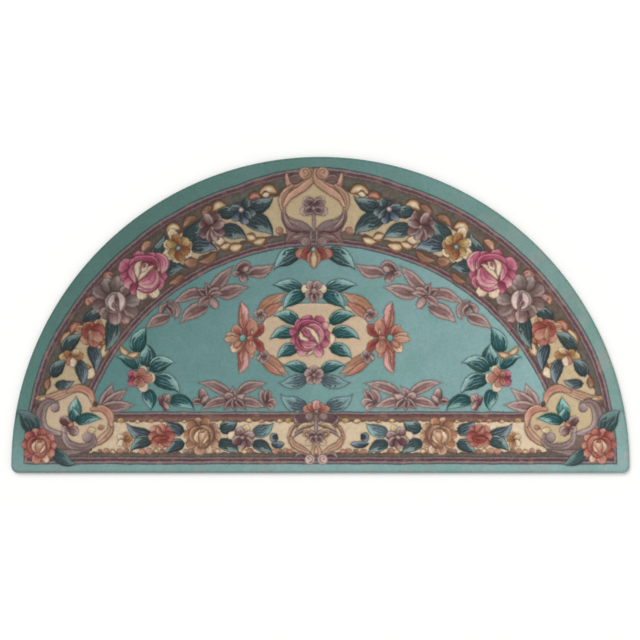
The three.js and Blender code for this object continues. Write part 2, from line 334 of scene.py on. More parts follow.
def noise(x, y, size, seed):
    """Soft random values from -1 to 1 that vary over size millimetres."""
    lattice = np.random.default_rng(seed).uniform(-1, 1, (LATTICE + 1, LATTICE + 1)).astype(np.float32)
    at_x = (0.8 * x + 0.6 * y) / size + SHIFT
    at_y = (0.8 * y - 0.6 * x) / size + SHIFT
    column, row = np.floor(at_x).astype(int), np.floor(at_y).astype(int)
    return between(lattice, row % LATTICE, column % LATTICE, ease(at_y - row), ease(at_x - column))


def ramp(design, value, stops):
    """Colours along value through stops of (value, dye)."""
    places = [place for place, _ in stops]
    colours = np.array([design.wool(name) for _, name in stops])
    return np.stack([np.interp(value, places, colours[:, i]) for i in range(3)], axis=-1)


# The drawing leans a little: its middle line is not quite the rug's, less so towards the sides and the front.
# Each table gives places and the values there.
LEAN = (60, 130, 250, 600), (-14, -10, -5, -1)
FRONT_LEAN = (60, 110, 350, 450), (-9, 0, 0.5, -2.5)
FRONT_START = (180, 300), (-160, -110)
FRONT_BLEND = 25


def place(u, y, side):
    """A point of the rug from its distance off the drawing's middle line, on the side +1 or -1."""
    lean, front, start = (np.interp(abs(u), *table) for table in (LEAN, FRONT_LEAN, FRONT_START))
    return lean + (front - lean) * np.clip((start - y) / FRONT_BLEND, 0, 1) + side * u, y


# The right half's flowers sit a little nearer the crown than the left half's, by distance along the border
RIGHT_BACK = (80, 120, 420, 460, 600, 680, 760), (4, 6, 5, 4, 6, 2, 3)
FLOWERS_IN = 2.5


def from_arch(along, out, side):
    """Distance off the middle line and Y of a point of the arch border."""
    back = np.interp(along, *RIGHT_BACK) if side > 0 else 0
    angle = (along - back) / BORDER_RADIUS
    out = out - FLOWERS_IN
    return out * math.sin(angle), ARCH_Y + out * math.cos(angle)


def curve(points, steps=8):
    """A smooth line through points."""
    points = np.array(points, float)
    if len(points) == 2:
        return points[0] + (points[1] - points[0]) * np.linspace(0, 1, steps)[:, None]
    ends = np.vstack([2 * points[0] - points[1], points, 2 * points[-1] - points[-2]])
    line = []
    for a, b, c, d in zip(ends, ends[1:], ends[2:], ends[3:]):
        for t in np.arange(steps) / steps:
            eased = (2 * a - 5 * b + 4 * c - d) * t**2
            line.append(0.5 * (2 * b + (c - a) * t + eased + (3 * b - a - 3 * c + d) * t**3))
    return np.array([*line, points[-1]])


# Motifs


def petal_profile(t):
    """A waist at the stalk, widest at 0.62, and a round, faintly waved end."""
    end = np.sqrt(np.clip(1 - ((t - 0.62) / 0.38) ** 2, 0, 1))
    return np.where(t < 0.62, 0.42 + 0.58 * np.sin(np.pi * t / 1.24), end) * (1 + 0.05 * np.cos(14 * t))


# Half width of a stroke along its length, as a part of its widest half width
PROFILES = {
    "leaf": lambda t: np.sin(np.pi * np.clip(t, 0.001, 0.999) ** 0.72) ** (0.55 + 0.7 * np.clip(t, 0, 1)),
    "bud": lambda t: np.sin(np.pi * np.clip(t, 0, 1)) ** 0.6,
    "petal": petal_profile,
    "spear": lambda t: (
        (0.35 + 0.65 * np.sin(np.pi * np.clip(t, 0, 1) ** 0.85)) * (1 - np.clip(t, 0, 1) ** 3.5)
    ),
    "scroll": lambda t: 0.35 + 0.65 * np.sin(np.pi * np.clip(t * 0.9 + 0.05, 0, 1)),
    "horn": lambda t: 1 - 0.9 * np.clip(t, 0, 1) ** 1.3,
    "band": lambda t: 1 - 0.6 * np.clip((t - 0.55) / 0.45, 0, 1) ** 1.5,
    "tail": lambda t: np.clip((1 - t) / 0.3, 0, 1) ** 0.7,
    "even": lambda t: np.ones_like(t),
}


def along_spine(spine, x, y):
    """How far along a spine each place lies, from 0 to 1, how far aside with its sign, and how far off."""
    start, run = spine[:-1], np.diff(spine, axis=0)
    span = np.hypot(*run.T)
    to_x, to_y = x[..., None] - start[:, 0], y[..., None] - start[:, 1]
    part = np.clip((to_x * run[:, 0] + to_y * run[:, 1]) / span**2, 0, 1)
    far = (to_x - part * run[:, 0]) ** 2 + (to_y - part * run[:, 1]) ** 2
    near = far.argmin(-1)

    def nearest(values):
        return np.take_along_axis(np.broadcast_to(values, far.shape), near[..., None], -1)[..., 0]

    before = np.concatenate([[0], np.cumsum(span)])
    t = (before[:-1][near] + nearest(part) * span[near]) / before[-1]
    cross = run[near, 0] * nearest(to_y) - run[near, 1] * nearest(to_x)
    return t, cross / span[near], np.sqrt(nearest(far))


# For each place of a stroke: how far along and across it lies, its side, the lit side, and the hand's wobble
Spots = namedtuple("Spots", "t across slope toward hand")


def leaf_colour(colour, tones, spots, lit, touch):
    """A leaf's dark heart with pointed fingers, pale streaks and blue touches in it, and a dark far edge."""
    root, body, tip, rim, _ = tones
    t, across, slope, toward, hand = spots
    reach = 0.62 - 0.36 * slope * lit if lit else 0.7 - 0.45 * across
    fingers = 0.13 * np.cos(2 * np.pi * 1.4 * slope + 2 * hand)
    heart = smooth(0.07, -0.07, t - reach - fingers)
    colour = mix(colour, rim, 0.75 * (1 - heart) * smooth(-0.5, 0.6, toward))
    colour = mix(colour, root, 0.9 * heart)
    streak = np.cos(np.pi * (2.3 * slope + 0.3 * hand)) ** 6 * smooth(0.1, 0.3, t) * smooth(1, 0.75, across)
    colour = mix(colour, tip, 0.38 * streak * heart)
    colour = mix(colour, body, 0.5 * streak * (1 - heart))
    if touch is not None:
        colour = mix(colour, touch, 0.4 * (bell(t, 0.36, 0.15) * bell(toward, -0.1, 0.3)))
    return mix(colour, root, 0.8 * smooth(0.55, 0.95, -toward)) if lit else colour


def petal_colour(colour, tones, spots, lit, veins):
    """A petal's or scroll's pale rim, dark far side and long stripes."""
    root, _, _, rim, edge = tones
    t, across, slope, toward, hand = spots
    colour = mix(colour, rim, 0.75 * smooth(0.2, 0.9, toward))
    if lit:
        colour = mix(colour, root, 0.65 * smooth(0.1, 0.9, -toward))
    if veins:
        streak = np.cos(np.pi * (slope + 1) * veins / 2 + 0.5 * hand) ** 8 * smooth(1, 0.8, across)
        streak = streak * smooth(0, 0.12, t) * smooth(1, 0.8, t)
        colour = mix(colour, edge, 0.6 * streak)
    return colour


def stroke(design, spine, width, profile, yarns, side=1, lit=0, veins=0, crown=1.3, shade=1.0, line=0.75):
    """Carves and dyes one leaf, petal or scroll along its spine.

    lit says which side of the spine is pale; veins is 1 for a leaf's ribs and more for long stripes."""
    spine, half, lit = curve(spine), width / 2, lit * side
    reach = half + 7
    cells, x, y = design.window(spine.min(0) - reach, spine.max(0) + reach)
    t, aside, distance = along_spine(spine, x, y)
    aside = aside / half
    hand = noise(x, y, *HAND)
    widest = half * PROFILES[profile](t) + 0.7 * hand
    inside = widest - distance
    lobes = 0.5 - 0.5 * np.cos(3 * np.pi * aside)
    if profile == "petal":
        inside = inside - min(2.2, 0.13 * half) * lobes * smooth(0.5, 0.9, t)
    across = np.clip(distance / np.maximum(widest, 0.1), 0, 1.2)
    slope = across * np.sign(aside)
    toward = slope * lit if lit else across
    spots = Spots(t, across, slope, toward, hand)
    root, body, tip, rim, edge = tones = design.tones(yarns, shade)
    colour = blend3(root, body, tip, np.clip(t + 0.12 * hand + 0.1 * slope * lit, 0, 1))
    if veins == 1:
        touch = design.wool("navy") if YARNS[yarns].startswith("pine ") else None
        colour = leaf_colour(colour, tones, spots, lit, touch)
    else:
        colour = petal_colour(colour, tones, spots, lit, veins)
    if profile == "petal":
        fold = lobes**6 * smooth(1.05, 0.5, t) * smooth(0.95, 0.75, np.abs(aside))
        fold = fold + 0.7 * bell(aside + 0.1 * hand, 0, 0.09) * smooth(0.75, 0.3, t)
        colour = mix(colour, root, 0.6 * np.clip(fold, 0, 1))
        colour = mix(colour, root, 0.5 * smooth(0.4, 0.05, t))
    # Painted highlight: a pale strip just inside the rim on the lit side, brighter than the rim's dye
    rim_highlight = bell(inside, 2.4, 0.9) * smooth(-0.3, 0.5, toward) * smooth(0.03, 0.2, t)
    colour = mix(colour, rim * 1.06, 0.55 * rim_highlight)
    colour = colour * (1 + 0.07 * hand)[..., None]
    cover = smooth(*(SOFT_RIM if line > 0.3 else SHARP_RIM), inside)
    # Painted shadow: the ground just outside a motif is made browner and darker, as shade beside its raised
    # pile
    halo = 0.2 * smooth(-6.5, -1, inside) * (1 - cover)
    design.colour[cells] = mix(design.colour[cells], design.wool("plum"), halo.astype(np.float32))
    dome = design.ground + crown * np.sqrt(np.clip(1 - across**2, 0, 1))
    design.carve(cells, inside, cover, colour, dome, edge, line, min(1, line + 0.2))


def patch(design, points, yarns):
    """Carves and dyes a plain area with a smooth outline through points."""
    ring = curve([*points, points[0]], 6)
    cells, x, y = design.window(ring.min(0) - 5, ring.max(0) + 5)
    far = np.full((y.size, x.size), 1e9)
    within = np.zeros(far.shape, bool)
    for (ax, ay), (bx, by) in zip(ring, ring[1:]):
        run_x, run_y = bx - ax, by - ay
        span = run_x**2 + run_y**2 + 1e-9
        part = np.clip(((x - ax) * run_x + (y - ay) * run_y) / span, 0, 1)
        far = np.minimum(far, (x - ax - part * run_x) ** 2 + (y - ay - part * run_y) ** 2)
        crosses = (ay > y) != (by > y)
        within ^= crosses & (x < ax + (y - ay) * run_x / (run_y if run_y else 1e-9))
    inside = np.sqrt(far) * np.where(within, 1, -1)
    _, body, _, rim, edge = design.tones(yarns)
    colour = mix(body, rim, 0.5 * smooth(8, 1, inside))
    design.carve(cells, inside, smooth(*SOFT_RIM, inside), colour, design.ground, edge, 0.75, 1)


def disc(design, centre, radius, yarns, side=1, tall=1.0, line=0.7):
    """Carves and dyes a round volute, bud or heart."""
    reach = radius * max(1, tall) + 4
    cells, x, y = design.window(np.subtract(centre, reach), np.add(centre, reach))
    distance = np.hypot(x - centre[0], (y - centre[1]) / tall)
    _, body, _, rim, edge = design.tones(yarns)
    lit = np.clip(0.5 + 0.5 * (side * (x - centre[0]) + (y - centre[1])) / radius, 0, 1)
    colour = blend3(body, (body + rim) / 2, rim, lit)
    dome = design.ground + 1.5 * np.sqrt(np.clip(1 - (distance / radius) ** 2, 0, 1))
    inside = radius - distance
    design.carve(cells, inside, smooth(*SOFT_RIM, inside), colour, dome, edge, line, 1)


# Layout of the design. Motifs are listed for the right half and repeated on the left.

Leaf = namedtuple("Leaf", "u y tip_u tip_y width bend lit yarns")

# Any other shape is a row of its yarns, profile, width, lit side, veins and the points of its spine


def petal(yarns, width, lit, *points):
    return (yarns, "petal", width, lit, 0, *points)


def bud(yarns, width, lit, *points):
    return (yarns, "bud", width, lit, 0, *points)


def leaf(yarns, width, veins, *points):
    return (yarns, "leaf", width, 0, veins, *points)


def petals_from(hub, *rows):
    """Petals of a flower; a row gives yarns, width, lit side and the place of the petal's tip."""
    return [petal(yarns, width, lit, hub, tip) for yarns, width, lit, *tip in rows]


# Place and radius of each rose; the border's is given as (along, out)
MEDALLION_ROSE_AT = (-8, -46, 47)
BORDER_ROSE_AT = (428, 578, 53)
FRONT_ROSE_AT = (262, -269, 41)
CORNER_ROSE_AT = (620, -291, 39)

# Petals of the medallion's rose, in parts of its radius, from the back to the front
ROSE = [
    petal("outer", 0.62, 1, (-0.08, 0.2), (-0.16, 0.97)),
    petal("outer", 0.55, -1, (0.25, 0.25), (0.5, 0.93)),
    petal("outer", 0.52, 1, (-0.25, 0.15), (-0.62, 0.76)),
    petal("inner", 0.42, -1, (0.35, 0), (0.78, 0.62)),
    petal("outer", 0.46, 1, (-0.35, 0.05), (-0.99, 0.24)),
    petal("outer", 0.52, -1, (0.3, -0.1), (0.93, 0.12)),
    petal("outer", 0.5, 1, (-0.3, -0.1), (-0.92, -0.28)),
    bud("heart", 0.24, 0, (0.92, 0.12), (1.05, -0.12), (1.0, -0.42)),
    petal("outer", 0.55, -1, (0.25, -0.1), (0.84, -0.46)),
    petal("inner", 0.55, 1, (-0.2, -0.35), (-0.5, -0.94)),
    petal("outer", 0.42, 1, (-0.2, -0.2), (-0.72, -0.62)),
    petal("inner", 0.52, -1, (0.2, -0.3), (0.5, -1.0)), bud("outer", 0.16, 0, (0.3, -0.3), (0.48, -0.72)),
    bud("heart", 0.17, 0, (0.18, -0.5), (0.05, -0.76), (-0.16, -0.96)),
    bud("outer", 0.34, 1, (-0.62, 0.16), (-0.46, 0.52), (0.0, 0.6), (0.4, 0.46), (0.62, 0.1)),
    bud("outer", 0.26, -1, (-0.58, 0.1), (-0.56, -0.3), (-0.26, -0.62), (0.1, -0.68)),
    bud("inner", 0.34, 1, (-0.16, 0.46), (0.26, 0.4), (0.5, 0.02), (0.36, -0.4)),
    ("outer", "even", 0.56, 1, 0, (-0.2, 0.12), (0.1, -0.06)),
    bud("inner", 0.44, -1, (-0.44, -0.3), (-0.1, -0.44), (0.3, -0.4)),
    bud("heart", 0.24, 1, (-0.26, 0.42), (0.06, 0.2), (0.28, -0.08), (0.4, -0.4)),
    bud("heart", 0.21, -1, (-0.48, 0.2), (-0.38, -0.1), (-0.06, -0.22)),
    bud("outer", 0.3, 0, (-0.32, 0.3), (-0.02, -0.06)),
]

# Petals of the border's roses
BORDER_ROSE = [
    petal("outer", 0.62, 1, (0.12, 0.2), (0.26, 0.95)), petal("outer", 0.6, 1, (-0.1, 0.25), (-0.42, 0.88)),
    petal("outer", 0.74, 0, (0.4, 0.1), (1.0, 0.44)), petal("outer", 0.46, -1, (0.4, -0.1), (1.0, -0.12)),
    petal("outer", 0.42, 1, (-0.5, -0.05), (-0.97, -0.1)),
    bud("inner", 0.4, -1, (-0.5, 0.86), (-0.84, 0.5), (-0.76, 0.02)),
    petal("outer", 0.62, 0, (-0.25, -0.25), (-0.82, -0.5)),
    petal("inner", 0.5, -1, (0.3, -0.2), (0.82, -0.52)),
    petal("outer", 0.46, -1, (0.2, -0.35), (0.5, -0.86)),
    petal("heart", 0.5, -1, (-0.2, -0.45), (-0.54, -0.98)),
    petal("heart", 0.5, 1, (0.08, -0.45), (0.08, -1.08)),
    bud("inner", 0.28, 1, (-0.66, -0.42), (-0.2, -0.66), (0.3, -0.62)),
    bud("outer", 0.34, 1, (-0.5, 0.02), (-0.46, 0.5), (-0.05, 0.62), (0.42, 0.52), (0.56, 0.1)),
    bud("inner", 0.3, -1, (0.3, 0.5), (0.52, 0.1), (0.38, -0.36)),
    ("outer", "even", 0.5, 1, 0, (-0.06, 0.22), (0.04, 0.1)),
    bud("inner", 0.6, -1, (-0.46, 0.2), (-0.3, -0.3), (0.24, -0.42)),
    bud("heart", 0.24, -1, (0.1, 0.56), (0.3, 0.28), (0.24, -0.2)),
    bud("heart", 0.22, 1, (-0.44, 0.34), (-0.14, 0.16), (0.24, -0.28)),
    bud("heart", 0.24, 0, (-0.14, 0.44), (0.08, 0.08)), bud("outer", 0.09, 0, (-0.06, 0.4), (0.02, 0.24)),
]

# Petals of the front border's and the corners' roses about a pale cup
CUPPED_ROSE = [
    petal("inner", 0.5, 1, (0.1, 0.4), (0.3, 1.0)), petal("outer", 0.52, 1, (-0.1, 0.4), (-0.24, 1.0)),
    petal("outer", 0.6, -1, (0.25, 0.35), (0.78, 0.72)),
    petal("inner", 0.52, 1, (-0.3, 0.25), (-0.82, 0.6)), petal("outer", 0.5, -1, (0.4, 0.05), (1.0, 0.12)),
    petal("inner", 0.46, 1, (-0.35, 0), (-1.0, 0.06)), petal("inner", 0.54, 1, (-0.3, -0.2), (-0.86, -0.5)),
    petal("outer", 0.56, -1, (0.3, -0.3), (0.86, -0.5)),
    petal("heart", 0.44, -1, (-0.15, -0.4), (-0.46, -0.92)),
    petal("inner", 0.56, 0, (0.05, -0.4), (0.24, -1.0)),
    bud("inner", 0.26, -1, (-0.5, -0.36), (-0.56, 0.1), (-0.34, 0.46), (0.1, 0.56)),
    bud("outer", 0.3, 1, (0.1, 0.5), (0.46, 0.32), (0.54, -0.1), (0.34, -0.46)),
    bud("inner", 0.24, 1, (-0.44, -0.3), (-0.14, -0.54), (0.3, -0.46)),
    petal("heart", 0.68, -1, (0.03, -0.42), (-0.07, 0.38)),
    bud("heart", 0.26, -1, (0.16, -0.4), (0.32, -0.06), (0.2, 0.28)),
    bud("outer", 0.15, 0, (-0.14, 0.22), (-0.02, 0.3), (0.1, 0.2)),
    bud("heart", 0.2, 1, (-0.32, 0.1), (-0.26, -0.16), (-0.04, -0.4)),
]

# Radius of the guard lines about the arch's centre, by distance along the border, and Y of those in front
OUTER_GUARD = (0, 90, 170, 400, 560, 700, 900), (661, 656, 648, 648, 652, 659, 656)
INNER_GUARD = (0, 200, 400, 560, 720, 800), (489, 492, 502, 512, 525, 530)
FRONT_INNER = -216
FRONT_OUTER = -330
GUARD_WIDTH = 15

# Bands of a guard from the plain ground inwards; the first dark band lies in the carved line by the teal and
# is outline yarn and painted shade
GUARD_BANDS = [
    (-1.0, "teal_line"), (0.6, "teal_line"), (1.6, "mauve_line"), (4.8, "mauve_line"), (6.2, "plum"),
    (7.4, "plum"), (8.6, "maroon"), (11.2, "maroon"), (12.4, "mauve_line"), (13.2, "mauve_line"),
    (14.6, "plum"), (16, "taupe"),
]

# Carved lines in a guard: place and spread
GUARD_LINES = ((6.4, 1.2), (14.8, 1.4))

# Bands between the field and the front border; the first dark band lies in the carved line by the teal and is
# outline yarn and painted shade
FRONT_BANDS = [
    (-1.0, "teal_line"), (0.4, "teal_line"), (1.4, "mauve_line"), (3.6, "mauve_line"), (5, "plum"),
    (6.4, "plum"), (7.6, "maroon_brown"), (10.5, "maroon_brown"), (13.5, "bud_brown"), (19, "bud_brown"),
]

# Dark ground between a guard and the ivory, as parts of its depth; the brown line at the ivory's edge lies in
# a carved line and is outline yarn and painted shade
FILL_BANDS = [
    (0, "taupe"), (0.25, "sage"), (0.55, "sage"), (0.7, "taupe"), (0.9, "taupe"), (0.97, "line_brown"),
    (1.06, "ivory_deep"),
]

# Depth of the dark ground beside the outer arch guard and the field's, and how brown it is, along the border
OUTER_FILL = (0, 120, 300, 430, 520, 620, 800), (26, 32, 30, 36, 42, 22, 10)
INNER_FILL = (0, 120, 300, 430, 520, 620, 800), (14, 14, 20, 26, 36, 18, 10)
WARM_GROUND = (0, 250, 380, 560, 640, 800), (0.2, 0.3, 0.9, 0.9, 0.4, 0.4)

# Random spots of the dark ground: dye, size and seed
SPOTS = (("plum", 9, 41), ("moss", 7, 42), ("umber", 6, 43), ("mauve_line", 5, 44), ("bud_brown", 12, 45))

# Places in the arch border are (distance along it, radius)
ARCH_BUDS = [
    ("bud", 19, (80, 614), (96, 623), (118, 618)), ("cream", 11, (96, 614), (112, 612)),
    ("rust bud", 13, (118, 608), (128, 616), (142, 612)), ("bud", 15, (126, 518), (142, 514), (160, 518)),
    ("bud", 15, (150, 522), (164, 530), (172, 536)), ("bud", 17, (196, 614), (212, 620), (226, 614)),
    ("brown bud", 13, (222, 622), (240, 620), (250, 608)), ("bud", 17, (188, 518), (208, 518), (224, 526)),
    ("bud", 15, (216, 530), (232, 530), (244, 536)), ("cream", 18, (226, 542), (238, 546), (248, 552)),
    ("brown bud", 14, (256, 526), (282, 518), (306, 526)),
    ("brown bud", 12, (262, 614), (280, 618), (298, 610)), ("bud", 17, (306, 610), (318, 622), (334, 620)),
    ("brown bud", 20, (308, 530), (322, 532), (338, 542)),
    ("tan leaf", 13, (372, 622), (386, 624), (398, 618)),
    ("brown bud", 13, (356, 522), (378, 518), (398, 524)), ("bud", 13, (624, 630), (642, 634), (660, 630)),
    ("bud", 17, (612, 548), (628, 542), (646, 546)), ("amber", 12, (608, 562), (612, 550)),
    ("cream", 18, (674, 550), (690, 548), (702, 550)), ("ochre", 12, (672, 564), (682, 562)),
    ("brown bud", 11, (730, 632), (741, 632), (752, 628)),
    ("rust bud", 13, (600, 618), (612, 628), (626, 626)),
    ("pink leaf", 12, (540, 624), (550, 632), (560, 626)),
    ("pink leaf", 12, (476, 626), (486, 634), (498, 632)), ("straw petal", 16, (752, 562), (762, 548)),
]

ARCH_LEAVES = [
    Leaf(150, 592, 88, 606, 32, 0.1, -1, "border leaf"),
    Leaf(162, 572, 104, 520, 40, -0.14, 1, "border leaf"),
    Leaf(214, 606, 172, 596, 28, 0.1, -1, "border leaf"),
    Leaf(226, 566, 172, 528, 34, -0.12, 1, "border leaf"),
    Leaf(310, 590, 252, 610, 30, 0.12, 1, "green leaf"),
    Leaf(308, 566, 252, 530, 37, -0.12, 1, "blue leaf"),
    Leaf(392, 594, 340, 620, 30, 0.14, -1, "green leaf"),
    Leaf(394, 556, 344, 530, 32, -0.12, 1, "border leaf"),
    Leaf(590, 614, 540, 602, 28, 0.12, -1, "border leaf"),
    Leaf(548, 568, 626, 540, 33, -0.1, -1, "green leaf"),
    Leaf(668, 622, 616, 600, 29, -0.12, -1, "green leaf"),
    Leaf(630, 576, 680, 540, 27, -0.1, -1, "blue leaf"),
    Leaf(724, 624, 680, 608, 28, -0.12, -1, "border leaf"),
    Leaf(672, 588, 724, 556, 26, -0.1, -1, "blue leaf"), Leaf(738, 614, 718, 576, 21, 0.1, 1, "blue leaf"),
]

ARCH_PETALS = [
    # Slate flower
    bud("night", 46, 0, (134, 590), (190, 588)), petal("green leaf", 19, 1, (158, 592), (146, 614)),
    petal("border leaf", 19, 1, (162, 592), (188, 606)), petal("blue leaf", 18, -1, (164, 590), (192, 577)),
    petal("slate flower", 21, 1, (160, 592), (136, 577)),
    petal("blue leaf", 21, -1, (162, 590), (166, 560)),
    petal("slate flower", 14, -1, (160, 592), (150, 568)),
    # Plum flower
    bud("plum petal", 40, 0, (216, 582), (268, 580)),
    *petals_from(
        (242, 582),
        ("plum petal", 23, 1, 216, 602), ("plum petal", 20, -1, 266, 602), ("mauve petal", 20, 1, 244, 614),
    ),
    *petals_from(
        (242, 580),
        ("plum petal", 23, -1, 275, 574), ("plum petal", 20, 1, 262, 554), ("mauve petal", 18, 1, 244, 548),
    ),
    petal("plum petal", 22, 1, (242, 578), (220, 556)), petal("mauve petal", 18, 1, (242, 580), (212, 580)),
    # Straw and ochre flower
    petal("cream", 26, 0, (328, 576), (316, 546)), petal("straw petal", 26, 0, (334, 576), (352, 550)),
    petal("straw petal", 28, 0, (336, 578), (370, 576)),
    petal("straw petal", 22, 0, (328, 586), (324, 622)),
    petal("straw petal", 22, 0, (332, 580), (352, 604)), petal("tan rose", 24, 0, (326, 578), (300, 566)),
    *petals_from(
        (330, 576),
        ("ochre", 25, 1, 302, 584), ("amber", 22, 1, 322, 607), ("ochre", 20, -1, 346, 602),
    ),
    petal("ochre", 21, -1, (332, 574), (358, 572)), petal("amber", 22, -1, (332, 574), (342, 548)),
    petal("amber", 20, 1, (330, 574), (314, 554)),
    # Taupe rose
    bud("panel ground", 88, 0, (478, 582), (556, 582)), petal("wine petal", 20, 0, (506, 600), (484, 636)),
    petal("wine petal", 18, 0, (532, 598), (548, 634)), petal("taupe rose", 33, -1, (518, 596), (524, 639)),
    petal("taupe petal", 29, 1, (510, 596), (496, 634)),
    petal("taupe rose", 31, -1, (530, 594), (558, 614)),
    petal("taupe petal", 34, 1, (506, 592), (471, 614)), petal("taupe rose", 30, 1, (532, 582), (564, 584)),
    petal("taupe rose", 31, -1, (504, 578), (466, 578)), petal("wine petal", 28, 1, (524, 564), (538, 530)),
    petal("taupe rose", 34, 1, (512, 564), (506, 526)), petal("taupe petal", 31, 1, (506, 568), (476, 544)),
    petal("mauve petal", 31, -1, (530, 574), (560, 552)), bud("plum petal", 48, 0, (492, 582), (544, 582)),
    ("taupe petal", "even", 40, 1, 0, (515, 583), (520, 584)),
    bud("cup", 15, 0, (498, 592), (503, 576), (514, 566), (527, 561)),
    bud("cup", 15, 0, (507, 594), (519, 592), (530, 583), (534, 570)),
    bud("plum petal", 7, 0, (511, 582), (521, 574), (531, 565)),
    bud("plum petal", 12, 0, (522, 584), (528, 572)),
    # Coral flower
    petal("tan rose", 20, 0, (596, 584), (570, 586)), petal("tan rose", 17, 0, (604, 594), (612, 624)),
    petal("coral", 26, -1, (602, 584), (590, 608)), petal("bow loop", 28, 1, (602, 588), (634, 592)),
    petal("corner rose", 30, 1, (604, 584), (626, 562)),
    petal("corner rose", 34, 1, (602, 588), (586, 562)), petal("bow loop", 24, 1, (604, 588), (606, 558)),
    bud("coral rose", 17, 0, (590, 600), (606, 600), (622, 590)),
    bud("tan rose", 9, 0, (600, 594), (612, 584), (622, 576)),
    # Ochre bloom beside the corner
    petal("ochre", 17, 0, (668, 604), (682, 628)), petal("amber", 14, 0, (668, 604), (668, 622)),
    petal("rust bud", 17, 0, (668, 600), (690, 604)), petal("cream", 15, 0, (668, 598), (690, 592)),
    petal("amber", 17, 0, (666, 602), (660, 578)), petal("straw petal", 13, 0, (664, 602), (650, 594)),
]

ARCH_HEARTS = [(166, 594, 5, "cup"), (242, 579, 4.5, "lilac bud"), (331, 575, 5, "pale leaf")]

FRONT_LEAVES = [
    Leaf(372, -268, 427, -241, 29, -0.15, -1, "blue leaf"),
    Leaf(372, -278, 419, -303, 27, 0.15, 1, "green leaf"),
    Leaf(303, -258, 342, -236, 27, -0.12, -1, "blue leaf"),
    Leaf(302, -285, 342, -307, 27, 0.12, 1, "border leaf"),
    Leaf(223, -252, 184, -235, 29, 0.12, -1, "border leaf"),
    Leaf(226, -284, 180, -308, 28, -0.12, 1, "green leaf"),
    Leaf(150, -261, 102, -240, 28, 0.12, 1, "grey leaf"),
    Leaf(150, -286, 106, -308, 26, -0.12, 1, "border leaf"),
]

FRONT_PETALS = [
    # Blue scroll beside the middle panel
    bud("blue leaf", 19, 1, (94, -262), (100, -270), (99, -281)),
    bud("night", 7, 0, (96, -266), (100, -274)),
    bud("blue leaf", 15, -1, (108, -284), (92, -287), (73, -284)),
    # Cream flower beside the corner
    *petals_from(
        (430, -276),
        ("tan rose", 14, 0, 428, -258), ("straw petal", 14, 0, 446, -266), ("cream", 15, 0, 446, -288),
        ("tan rose", 14, 0, 426, -294), ("amber", 13, 0, 414, -272),
    ),
    # Coral flower
    *petals_from(
        (352, -266),
        ("corner rose", 22, 1, 332, -248), ("rosy bow", 20, -1, 352, -240), ("rosy bow", 22, -1, 374, -247),
    ),
    *petals_from(
        (352, -268),
        ("coral", 20, -1, 381, -268), ("coral", 22, -1, 372, -290), ("rosy bow", 19, 1, 350, -294),
        ("corner rose", 22, 1, 332, -288),
    ),
    petal("corner rose", 23, 1, (352, -266), (322, -270)),
    bud("coral rose", 15, 0, (336, -270), (352, -276), (368, -272)),
    bud("coral", 8, 0, (346, -262), (358, -258), (362, -248)),
    # Mauve flower
    petal("cream", 20, 0, (178, -266), (206, -266)), petal("straw petal", 17, 0, (172, -266), (160, -243)),
    *petals_from(
        (172, -270),
        ("mauve petal", 22, 1, 184, -248), ("mauve petal", 22, -1, 146, -264),
        ("plum petal", 21, -1, 152, -288), ("mauve petal", 21, 1, 174, -296),
        ("plum petal", 22, 1, 194, -284),
    ),
    bud("lilac bud", 9, 0, (167, -268), (177, -272)),
]

# Rows of buds below and above the front border's flowers, by their Y.
# A bud is its distance off the middle, its radius and its yarns.
FRONT_BUDS = {
    -302: [
        (70, 6, "pink leaf"), (84, 5, "brown bud"), (98, 7, "pink leaf"), (128, 5, "brown bud"),
        (156, 8, "brown bud"), (169, 6, "bud"), (196, 5, "brown bud"), (228, 7, "bud"), (241, 6, "pink leaf"),
        (286, 6, "brown bud"), (298, 5, "mauve petal"), (350, 7, "brown bud"), (364, 6, "bud"),
        (378, 8, "pink leaf"), (394, 7, "pink leaf"), (428, 6, "brown bud"), (442, 7, "pink leaf"),
        (457, 6, "bud"), (471, 6, "pink leaf"), (486, 5, "brown bud"),
    ],
    -235: [
        (63, 7, "ochre"), (86, 7, "bud"), (130, 5, "pink leaf"), (158, 7, "bud"), (208, 5, "brown bud"),
        (302, 5, "bud"), (352, 6, "brown bud"), (374, 6, "pink leaf"), (404, 5, "bud"), (440, 7, "ochre"),
    ],
}

MEDALLION = [
    (0, 26), (30, 25), (66, 22), (92, 8), (113, -13), (119, -33), (129, -50), (117, -70), (101, -89),
    (62, -112), (24, -118), (0, -118),
]

MEDALLION_LEAVES = [
    Leaf(36, -18, 91, -2, 29, 0.14, 1, "panel leaf"), Leaf(40, -42, 99, -54, 28, 0.16, 1, "panel leaf"),
    Leaf(36, -74, 83, -97, 28, 0.14, 1, "panel leaf"), Leaf(26, 54, 93, 66, 30, 0.08, 1, "sky leaf"),
    Leaf(20, 48, 68, 12, 32, 0.12, 1, "panel leaf"), Leaf(16, -126, 68, -112, 24, 0.12, 1, "panel leaf"),
    Leaf(16, -140, 80, -151, 30, -0.08, 0, "grey leaf"),
]

